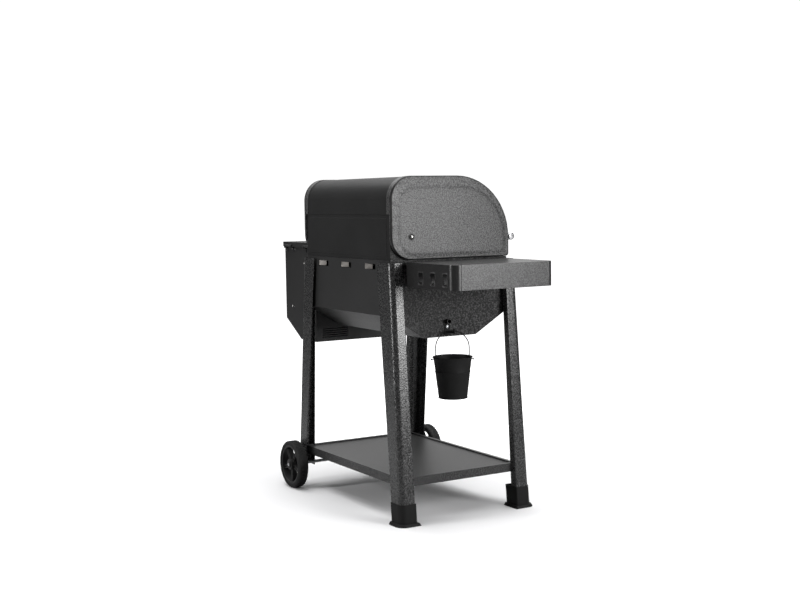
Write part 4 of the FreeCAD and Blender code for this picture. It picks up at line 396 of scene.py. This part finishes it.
def rounded(corners, steps):
    """Points round an outline whose corners are (across, up, radius)."""
    found = []
    count = len(corners)
    for i, (x, y, radius) in enumerate(corners):
        here = Vector((x, y))
        before = (Vector(corners[i - 1][:2]) - here).normalized()
        after = (Vector(corners[(i + 1) % count][:2]) - here).normalized()
        half = before.angle(after) / 2
        centre = here + (before + after).normalized() * (radius / math.sin(half))
        start = here + before * (radius / math.tan(half)) - centre
        end = here + after * (radius / math.tan(half)) - centre
        first = math.atan2(start.y, start.x)
        turn = (math.atan2(end.y, end.x) - first + math.pi) % (2 * math.pi) - math.pi
        for step in range(steps + 1):
            angle = first + turn * step / steps
            found.append(centre + radius * Vector((math.cos(angle), math.sin(angle))))
    return found


# ---------------------------------------------------------------- lid

CAP_RADII = (10, 77, 80, 216)       # front foot, rear foot, rear top, front top
CAP_ARC_STEPS = 14
CAP_RIM = 34 * MM
CAP_LOW_RIM = 15 * MM               # the rim is shallower where the rear panel passes behind it
CAP_FRONT_FLAT = 5 * MM
CAP_GAUGE = 1.5 * MM
CAP_ROLL = 3.2 * MM
ROLL_STEPS = 6
LID_SEAM = low("lid_cap_left").z + 155 * MM
SEAM_STEP = 0.3 * MM

BOSS_HEIGHT = 1.7 * MM
BOSS_FRONT = 29 * MM                # the raised field's distance from each side of the cap
BOSS_REAR = 41 * MM
BOSS_FOOT = 25 * MM
BOSS_TOP = 49 * MM
BOSS_RADII = (14 * MM, 52 * MM, 52 * MM, 172 * MM)
SHOULDER = 20 * MM
SHOULDER_STEPS = 8

# how far in from the cap's outline, and how far behind its border, in mm
CAP_BEAD_AND_GAP_SHADE = ((3.8, 0.8), (3.4, -0.2), (2.2, -0.3), (0.8, 0.5), (-0.3, 2.4), (-0.3, 9), (0.5, 9))


def with_seam(points, rear):
    """Adds two points on the rear upright, just below and above the lid's seam."""
    seam = [Vector((rear, LID_SEAM - SEAM_STEP)), Vector((rear, LID_SEAM + SEAM_STEP))]
    after = len(points) // 2
    return points[:after] + seam + points[after:]


def cap_outline(front, rear, foot, top, radii):
    """A D outline between four levels, with a pair of points where the cap's rim steps at the seam."""
    corners = [
        (front, foot, radii[0]),
        (rear, foot, radii[1]),
        (rear, top, radii[2]),
        (front, top, radii[3]),
    ]
    return with_seam(rounded(corners, CAP_ARC_STEPS), rear)


def cap_loop(node, inset):
    """The cap's outline drawn in by an inset."""
    start = low(node)
    end = high(node)
    radii = [max(0.4 * MM, radius * MM - inset) for radius in CAP_RADII]
    return cap_outline(start.y + inset, end.y - inset, start.z + inset, end.z - inset, radii)


def boss_loop(node, grow):
    """The raised field's outline, grown by a distance."""
    start = low(node)
    end = high(node)
    radii = [radius + grow for radius in BOSS_RADII]
    return cap_outline(start.y + BOSS_FRONT - grow, end.y - BOSS_REAR + grow,
                       start.z + BOSS_FOOT - grow, end.z - BOSS_TOP + grow, radii)


def rim_depth(point, node):
    """How deep the cap's rim is at a point of its outline."""
    if point.y < LID_SEAM and point.x > low(node).y + CAP_FRONT_FLAT:
        return CAP_LOW_RIM
    return CAP_RIM


def cap_border(node, side):
    """Where the flat border of a cap lies, just behind its raised field."""
    outer = low(node).x if side < 0 else high(node).x
    return outer - side * BOSS_HEIGHT


def lid_cap(side_name, side):
    """A pressed end cap: rolled edge, flat border and a raised field with soft shoulders."""
    node = "lid_cap_" + side_name
    border = cap_border(node, side)

    def at(points, depth):
        return [Vector((border - side * depth, point.x, point.y)) for point in points]

    rim_out = cap_loop(node, 0)
    rim_in = cap_loop(node, CAP_GAUGE)
    loops = [at(rim_in, CAP_GAUGE)]
    for ring in (rim_in, rim_out):
        loops.append([Vector((border - side * (rim_depth(point, node) - BOSS_HEIGHT), point.x, point.y))
                      for point in ring])
    for step in range(ROLL_STEPS + 1):
        angle = math.radians(90 * step / ROLL_STEPS)
        inset = CAP_ROLL * (1 - math.cos(angle))
        loops.append(at(cap_loop(node, inset), CAP_ROLL * (1 - math.sin(angle))))
    for step in range(SHOULDER_STEPS + 1):
        share = step / SHOULDER_STEPS
        height = BOSS_HEIGHT * share * share * (3 - 2 * share)
        loops.append(at(boss_loop(node, (1 - share) * SHOULDER), -height))
    made = bmesh.new()
    skinned(made, loops)
    finished("cap_pressing_" + side_name, made, "lid", "cap_paint", (node,))


def cap_bead_and_gap_shade(side_name, side):
    """The black bead round the edge of an end cap: the lid shell's black rim, whose black all round also stands in
    as painted shade for the shadow gap between cap and lid.
    """
    node = "lid_cap_" + side_name
    border = cap_border(node, side)
    loops = []
    for inset, depth in CAP_BEAD_AND_GAP_SHADE:
        loops.append([Vector((border - side * depth * MM, point.x, point.y))
                      for point in cap_loop(node, inset * MM)])
    made = bmesh.new()
    skinned(made, loops, first=False, last=False)
    finished("cap_edge_bead_and_gap_shade_" + side_name, made, "lid", "lid_paint")


def pivot_bolts():
    """The shouldered bolts: a domed head in a black collar at the shelf end, a thin head at the hopper."""
    start = low("hinge_bolts")
    end = high("hinge_bolts")
    centre = middle("hinge_bolts")
    radius = (end.z - start.z) / 2
    shelf_place = (start.x, centre.y, centre.z)
    hopper_place = (end.x, centre.y, centre.z)
    ring = bmesh.new()
    collar = in_mm([(5.4, 4)]) + [(5.4 * MM, radius), (3.4 * MM, radius)]
    collar += [(2.6 * MM, radius - 0.8 * MM), (2.6 * MM, radius - 2 * MM)] + in_mm([(3.6, 5.8)])
    turned(ring, shelf_place, (1, 0, 0), collar)
    finished("pivot_bolt_collar", ring, "cart", "boot_plastic")
    made = bmesh.new()
    head = in_mm([(26, 4), (5, 4), (3.6, 5.6)]) + dome(3.6 * MM, 5.6 * MM)
    turned(made, shelf_place, (1, 0, 0), head)
    thin = in_mm([(26, 4), (2, 4)]) + [(2 * MM, radius - 0.3 * MM), (1.6 * MM, radius)]
    thin += [(0.5 * MM, radius - 0.1 * MM), (0, radius - 0.9 * MM)] + in_mm([(0, 3.4), (0.9, 3)])
    turned(made, hopper_place, (-1, 0, 0), thin)
    finished("pivot_bolts", made, "cart", "stainless", ("hinge_bolts",))


def lid_handle():
    """A polished bar with a turned line and a rounded end at each side."""
    start = low("lid_handle")
    end = high("lid_handle")
    centre = middle("lid_handle")
    radius = (end.z - start.z) / 2
    length = end.x - start.x
    end_round = 4 * MM
    line = radius - 0.6 * MM
    half = in_mm([(0, 0.5)]) + bend((end_round, radius - end_round), end_round, 180, 90)
    half += [(11 * MM, radius), (11.4 * MM, line), (12.6 * MM, line), (13 * MM, radius)]
    profile = half + [(length - along, reach) for along, reach in reversed(half)]
    made = bmesh.new()
    turned(made, (start.x, centre.y, centre.z), (1, 0, 0), profile)
    finished("polished_handle_bar", made, "lid", "handle_chrome", ("lid_handle",))


for name, side in SIDES:
    lid_cap(name, side)
    cap_bead_and_gap_shade(name, side)
pivot_bolts()
lid_handle()


# ---------------------------------------------------------------- wheels

TREAD_BLOCKS = 44
TREAD_FILL = 0.6        # share of the pitch that a block takes up
TREAD_LEAN = 0.11       # how far round a block's outer end trails its inner end, in radians
TREAD_GAP = 1.2 * MM    # from the tyre's middle line to a block
TREAD_EDGE = 4.5 * MM   # from a block to the tyre's side
TREAD_CHAMFER = 0.5 * MM
RUBBER_DEPTH = 16 * MM
TREAD_DEPTH = 1.6 * MM
SHOULDER_RADIUS = 7 * MM


def tread_block(mesh_work, hub, across, angle, inner, outer):
    """One slanted rubber block between two places across the tyre."""
    width = 2 * math.pi / TREAD_BLOCKS * TREAD_FILL
    corners = ((across[0], 1, 0), (across[0], 1, width),
               (across[1], -1, width + TREAD_LEAN), (across[1], -1, TREAD_LEAN))
    loops = []
    for radius, shrink in ((inner, 0), (outer - 0.4 * MM, 0), (outer, TREAD_CHAMFER)):
        loop = []
        for place, edge, turn in corners:
            inside = 1 if turn in (0, TREAD_LEAN) else -1
            here = angle + turn + inside * shrink / radius
            loop.append(Vector((hub.x + radius * math.cos(here), place + edge * shrink,
                                hub.z + radius * math.sin(here))))
        loops.append(loop)
    skinned(mesh_work, loops)


def tyre(name):
    """A solid rubber tyre: moulded side rings, round shoulders and a chevron tread."""
    node = "tyre_" + name
    start = low(node)
    end = high(node)
    hub = middle(node)
    width = end.y - start.y
    outer = (end.z - start.z) / 2
    inner = outer - RUBBER_DEPTH
    base = outer - TREAD_DEPTH
    wall = [(1.2 * MM, inner), (0, inner + 1.4 * MM), (0, inner + 4 * MM), (0.7 * MM, inner + 4.5 * MM),
            (0.7 * MM, inner + 5.4 * MM), (0, inner + 6 * MM)]
    wall += bend((SHOULDER_RADIUS, base - SHOULDER_RADIUS), SHOULDER_RADIUS, 180, 90)
    profile = wall + [(width - along, reach) for along, reach in reversed(wall)]
    made = bmesh.new()
    turned(made, (hub.x, start.y, hub.z), (0, 1, 0), profile, 96, joined=True)
    for i in range(TREAD_BLOCKS):
        angle = 2 * math.pi * i / TREAD_BLOCKS
        for side in (-1, 1):
            reach = (hub.y + side * TREAD_GAP, hub.y + side * (width / 2 - TREAD_EDGE))
            tread_block(made, hub, reach, angle, base - 1.2 * MM, outer)
    finished("tyre_with_tread_" + name, made, "wheel_" + name, "tyre_rubber", (node,))


for name in ("rear", "front"):
    tyre(name)


# ---------------------------------------------------------------- grease bucket

BAIL_AXIS = Vector(JOINTS["bail_swing"]["axis"])
BUCKET_CENTRE = Vector(JOINTS["bucket_swing"]["pos_m"])
BUCKET_BASE = low("bucket").z
BUCKET_RIM = high("bucket").z
BUCKET_RADIUS = (high("bucket").x - low("bucket").x) / 2
BUCKET_FOOT = 49.5 * MM         # radius at the foot
BUCKET_GAUGE = 1.2 * MM
RIM_ROLL = 2.2 * MM
BEAD_DROP = 52 * MM             # from the rim to the swaged bead
WIRE_RADIUS = 1.75 * MM
ARCH_RADIUS = 58 * MM
CURL_RADIUS = 2.0 * MM
KNEE_RADIUS = 4 * MM


def bucket_shell():
    """The spun bucket: chime at its foot, a swaged bead, a rolled rim and a thin wall."""
    height = BUCKET_RIM - BUCKET_BASE
    foot = BUCKET_FOOT
    mouth = BUCKET_RADIUS - 3.4 * MM

    def wall(along):
        return foot + (mouth - foot) * along / height

    bead = height - BEAD_DROP
    outside = [(2.6 * MM, 3 * MM), (2.6 * MM, foot - 4 * MM), (0.2 * MM, foot - 2.6 * MM), (0, foot)]
    outside += bend((2.2 * MM, foot + 0.1 * MM), 2.0 * MM, 180, 20)
    outside += [(bead - 3.4 * MM, wall(bead)), (bead - 1.8 * MM, wall(bead) + 0.8 * MM),
                (bead, wall(bead) + 1.7 * MM), (bead + 1.8 * MM, wall(bead) + 0.9 * MM),
                (bead + 3.4 * MM, wall(bead + 3 * MM))]
    outside += [(height - 2 * RIM_ROLL - 0.6 * MM, mouth)]
    outside += bend((height - RIM_ROLL, BUCKET_RADIUS - RIM_ROLL), RIM_ROLL, 200, -60, 14)
    inside = [(height - 2 * RIM_ROLL, mouth - BUCKET_GAUGE), (bead, wall(bead) - BUCKET_GAUGE),
              (5 * MM, foot - BUCKET_GAUGE), (3.8 * MM, foot - 4 * MM), (3.8 * MM, 3 * MM)]
    made = bmesh.new()
    turned(made, (BUCKET_CENTRE.x, BUCKET_CENTRE.y, BUCKET_BASE), (0, 0, 1), outside + inside, 96)
    finished("bucket_shell", made, "grease_bucket", "bucket_enamel", ("bucket",))


def swept(mesh_work, path, radius, count=12):
    """A round wire along a row of points that lie in one upright plane."""
    side = BAIL_AXIS.cross(Vector((0, 0, 1))).normalized()
    loops = []
    for i, point in enumerate(path):
        ahead = path[min(i + 1, len(path) - 1)] - path[max(i - 1, 0)]
        up = side.cross(ahead.normalized()).normalized()
        angles = [2 * math.pi * k / count for k in range(count)]
        loops.append([point + (side * math.cos(a) + up * math.sin(a)) * radius for a in angles])
    skinned(mesh_work, loops)


def bail_wire():
    """The bent wire handle: curled ends outside the wall, round corners and an arch over the mouth."""
    pivot = BUCKET_CENTRE.z
    arch_middle = high("bail").z - WIRE_RADIUS - ARCH_RADIUS
    reach = BUCKET_RADIUS + 2.4 * MM
    half = [(across, level - CURL_RADIUS)
            for across, level in bend((reach, pivot), CURL_RADIUS, -60, 180)]
    half.append((reach - 3 * MM, pivot))
    half += bend((ARCH_RADIUS + KNEE_RADIUS, pivot + KNEE_RADIUS), KNEE_RADIUS, 270, 180, 6)
    half += bend((0, arch_middle), ARCH_RADIUS, 0, 90, 24)
    both = half + [(-across, level) for across, level in reversed(half[:-1])]
    centre = Vector((BUCKET_CENTRE.x, BUCKET_CENTRE.y, 0))
    path = [centre + BAIL_AXIS * across + Vector((0, 0, level)) for across, level in both]
    made = bmesh.new()
    swept(made, path, WIRE_RADIUS)
    finished("bail_wire_form", made, "bail_wire", SLOTS["bail"], ("bail",))


bucket_shell()
bail_wire()


# ---------------------------------------------------------------- side shelf hooks and hook screw

HOOK_WALL = 201 * MM            # the shelf's rear skirt, where the hooks are pressed
HOOK_COUNT = 3
HOOK_FIRST = 197.5 * MM         # from the shelf's end to the first hook
HOOK_PITCH = 74 * MM
# the window's half width, levels and corner radius, in mm
HOOK_HALF = 15
HOOK_FOOT = 818
HOOK_TOP = 859
HOOK_CORNER = 5
# how far the lip's outline grows past the window, and how proud it is of the skirt, in mm
HOOK_LIP = ((-0.4, -1.2), (-0.6, 0.2), (0.2, 1.0), (1.4, 1.1), (2.6, 0.3), (3.0, -0.4))


def tool_hook_lips():
    """The pressed edge round each tool hook's window."""
    made = bmesh.new()
    for number in range(HOOK_COUNT):
        across = low("side_shelf").x + HOOK_FIRST - number * HOOK_PITCH
        loops = []
        for grow, proud in HOOK_LIP:
            half = (HOOK_HALF + grow) * MM
            foot = (HOOK_FOOT - grow) * MM
            top = (HOOK_TOP + grow) * MM
            corner = (HOOK_CORNER + grow) * MM
            points = rounded([(across - half, foot, corner), (across + half, foot, corner),
                              (across + half, top, corner), (across - half, top, corner)], 6)
            loops.append([Vector((point.x, HOOK_WALL + proud * MM, point.y)) for point in points])
        skinned(made, loops, first=False, last=False)
    finished("tool_hook_lips", made, "cart", "shelf_paint")


def hook_screw():
    """The domed screw that holds the bucket's hook to the end plate."""
    centre = middle("bucket_hook")
    made = bmesh.new()
    head = in_mm([(6, 3), (3, 3), (3, 5.6), (2.4, 5.8)]) + dome(2.4 * MM, 5.4 * MM)
    place = (low("end_plate_left").x - 6 * MM, centre.y, high("bucket_hook").z - 8 * MM)
    turned(made, place, (1, 0, 0), head, 32)
    finished("hook_screw_head", made, "cart", "zinc_steel")


tool_hook_lips()
hook_screw()


# ---------------------------------------------------------------- controls

KNOB_FLUTES = 18
KNOB_STEPS = 8 * KNOB_FLUTES
# along in mm, radius and depth of flute as shares of the knob's radius
KNOB_RINGS = ((17, 1.0, 0), (16.4, 1.0, 0), (14.5, 0.97, 0), (13.5, 0.9, 0.045), (3, 0.86, 0.05),
              (1, 0.83, 0.03), (0.2, 0.78, 0), (0, 0.72, 0), (0.8, 0.66, 0))
# depth, half width, near end and far end of the pointer, in mm
POINTER_RINGS = ((1.2, 1.4, 3.0, 15.6), (0.3, 1.4, 3.0, 15.6), (0, 1.0, 3.4, 15.2))
MARK_COUNT = 13
MARK_FIRST = 225                # degrees
MARK_PITCH = 22.5
MARK_NEAR = 24                  # reach of a mark's ends from the knob's middle, in mm
MARK_FAR = 27.5
MARK_LONG_FAR = 29.5
# how proud a mark is of the panel, and its half width, in mm
MARK_RINGS = ((-0.1, 0.7), (0.25, 0.7), (0.4, 0.45))


def fluted_knob():
    """A moulded knob with finger flutes, a dished face and a raised pointer."""
    start = low("control_knob")
    end = high("control_knob")
    centre = middle("control_knob")
    base = (end.z - start.z) / 2
    made = bmesh.new()
    loops = []
    for along, radius, flute in KNOB_RINGS:
        loop = []
        for i in range(KNOB_STEPS):
            angle = 2 * math.pi * i / KNOB_STEPS
            reach = base * (radius - flute * (0.5 + 0.5 * math.cos(KNOB_FLUTES * angle)))
            loop.append(Vector((centre.x + reach * math.cos(angle), start.y + along * MM,
                                centre.z + reach * math.sin(angle))))
        loops.append(loop)
    skinned(made, loops)
    pointer = []
    for depth, half, near, far in POINTER_RINGS:
        pointer.append([Vector((centre.x + x * MM, start.y + depth * MM, centre.z + z * MM))
                        for x, z in ((-half, near), (half, near), (half, far), (-half, far))])
    skinned(made, pointer)
    finished("fluted_knob", made, "knob", "panel_plastic", ("control_knob",))


def dial_marks():
    """Raised tick marks round the knob, longer at every third."""
    face = low("control_panel").y
    centre = middle("control_knob")
    made = bmesh.new()
    for i in range(MARK_COUNT):
        angle = math.radians(MARK_FIRST - MARK_PITCH * i)
        far = MARK_LONG_FAR if i % 3 == 0 else MARK_FAR
        out = Vector((math.cos(angle), 0, math.sin(angle)))
        side = Vector((-math.sin(angle), 0, math.cos(angle)))
        loops = []
        for proud, half in MARK_RINGS:
            base = Vector((centre.x, face - proud * MM, centre.z))
            loops.append([base + out * reach * MM + side * edge * half * MM
                          for reach, edge in ((MARK_NEAR, -1), (MARK_NEAR, 1), (far, 1), (far, -1))])
        skinned(made, loops)
    finished("dial_marks", made, "cart", "key_rubber")


fluted_knob()
dial_marks()


# ---------------------------------------------------------------- camera, floor and light

CAMERA_PLACE = Vector((-3.9174, 2.3551, 1.0962))
CAMERA_HEADING = math.radians(30.67)
CAMERA_PITCH = math.radians(4.57)
CAMERA_ROLL = math.radians(-0.89)
FOCAL_SHARE = 1.5525     # focal length over image width
SENSOR = 36.0

FLOOR_SIZE = 80
FLOOR_BOUNCE = 0.40      # how pale the floor is to the light it throws back up
WHITE_FROM = 0.8         # the floor's tone rises to plain white between these distances
WHITE_AT = 2.0
BACKDROP_WAY = (0.80, -0.60, 0.05)
BACKDROP_EDGE = 0.55     # cosine to that way where the backdrop starts
BACKDROP_FULL = 0.85     # and where it is at its full strength
ROOM_LIGHT = 0.08
BACKDROP_LIGHT = 0.80
ROOM_TONE = 1.05


def make_camera():
    """Looks down a little from the shelf end of the rear, as a person standing there would."""
    level = Vector((math.cos(CAMERA_HEADING), -math.sin(CAMERA_HEADING), 0))
    forward = level * math.cos(CAMERA_PITCH) - Vector((0, 0, math.sin(CAMERA_PITCH)))
    right = forward.cross(Vector((0, 0, 1))).normalized()
    up = right.cross(forward)
    tilted_right = right * math.cos(CAMERA_ROLL) + up * math.sin(CAMERA_ROLL)
    tilted_up = up * math.cos(CAMERA_ROLL) - right * math.sin(CAMERA_ROLL)
    turn = Matrix((tilted_right, tilted_up, -forward)).transposed()
    data = bpy.data.cameras.new("camera")
    data.sensor_width = SENSOR
    data.lens = FOCAL_SHARE * SENSOR
    camera = bpy.data.objects.new("camera", data)
    camera.matrix_world = Matrix.Translation(CAMERA_PLACE) @ turn.to_4x4()
    bpy.context.scene.collection.objects.link(camera)
    bpy.context.scene.camera = camera


def make_floor():
    """A pale sweep that takes soft shadows near the grill and runs out into plain white."""
    bpy.ops.mesh.primitive_plane_add(size=FLOOR_SIZE, location=(0, 0, 0))
    floor = bpy.context.object
    floor.name = "floor"
    made, tree, shader = new_finish("pale_floor", Roughness=0.9, Specular_IOR_Level=0.05)
    seen = tree.nodes.new("ShaderNodeLightPath").outputs["Is Camera Ray"]
    tone = blended(tree, grain(tree, 0.8, 2.0), grey(0.80), grey(0.82))
    tree.links.new(blended(tree, seen, grey(FLOOR_BOUNCE), tone), shader.inputs["Base Color"])
    place = tree.nodes.new("ShaderNodeTexCoord")
    distance = tree.nodes.new("ShaderNodeVectorMath")
    distance.operation = "LENGTH"
    tree.links.new(place.outputs["Object"], distance.inputs[0])
    shader.inputs["Emission Color"].default_value = (1, 1, 1, 1)
    fade = ranged(tree, distance.outputs["Value"], WHITE_FROM, WHITE_AT, 0.0, 1.1)
    glow = tree.nodes.new("ShaderNodeMath")
    glow.operation = "MULTIPLY"
    tree.links.new(fade, glow.inputs[0])
    tree.links.new(seen, glow.inputs[1])
    tree.links.new(glow.outputs[0], shader.inputs["Emission Strength"])
    floor.data.materials.append(made)


def softbox(name, place, target, width, height, power):
    """A lamp panel that the camera doesn't see, turned towards a target."""
    data = bpy.data.lights.new(name, "AREA")
    data.shape = "RECTANGLE"
    data.size = width
    data.size_y = height
    data.energy = power
    data.spread = math.pi
    lamp = bpy.data.objects.new(name, data)
    lamp.visible_camera = False
    lamp.location = place
    lamp.rotation_mode = "QUATERNION"
    lamp.rotation_quaternion = (Vector(target) - Vector(place)).to_track_quat("-Z", "Y")
    bpy.context.scene.collection.objects.link(lamp)


def make_world():
    """A white room to look at; its light comes mostly from the backdrop behind the grill and from above."""
    world = bpy.data.worlds.new("studio")
    world.use_nodes = True
    tree = world.node_tree
    tree.nodes.clear()
    place = tree.nodes.new("ShaderNodeTexCoord")
    facing = tree.nodes.new("ShaderNodeVectorMath")
    facing.operation = "DOT_PRODUCT"
    facing.inputs[1].default_value = BACKDROP_WAY
    tree.links.new(place.outputs["Generated"], facing.inputs[0])
    backdrop = ranged(tree, facing.outputs["Value"], BACKDROP_EDGE, BACKDROP_FULL,
                      ROOM_LIGHT, BACKDROP_LIGHT)
    dim = tree.nodes.new("ShaderNodeBackground")
    dim.inputs["Color"].default_value = (1, 1, 1, 1)
    tree.links.new(backdrop, dim.inputs["Strength"])
    white = tree.nodes.new("ShaderNodeBackground")
    white.inputs["Color"].default_value = (1, 1, 1, 1)
    white.inputs["Strength"].default_value = ROOM_TONE
    path = tree.nodes.new("ShaderNodeLightPath")
    mix = tree.nodes.new("ShaderNodeMixShader")
    tree.links.new(path.outputs["Is Camera Ray"], mix.inputs[0])
    tree.links.new(dim.outputs[0], mix.inputs[1])
    tree.links.new(white.outputs[0], mix.inputs[2])
    out = tree.nodes.new("ShaderNodeOutputWorld")
    tree.links.new(mix.outputs[0], out.inputs["Surface"])
    bpy.context.scene.world = world


def make_lights():
    """A large panel overhead, one off the shelf end and a slim one behind."""
    softbox("top_box", (0.25, -0.15, 3.4), (0, 0, 0.4), width=4.4, height=3.4, power=225)
    softbox("shelf_side_box", (-2.4, -0.80, 1.12), (-0.35, 0.1, 0.9), width=0.95, height=1.0, power=44)
    softbox("rear_strip", (0.45, 3.4, 1.35), (0.0, 0.2, 0.9), width=0.4, height=1.5, power=56)
    bpy.context.scene.view_settings.view_transform = "Standard"


make_camera()
make_floor()
make_world()
make_lights()
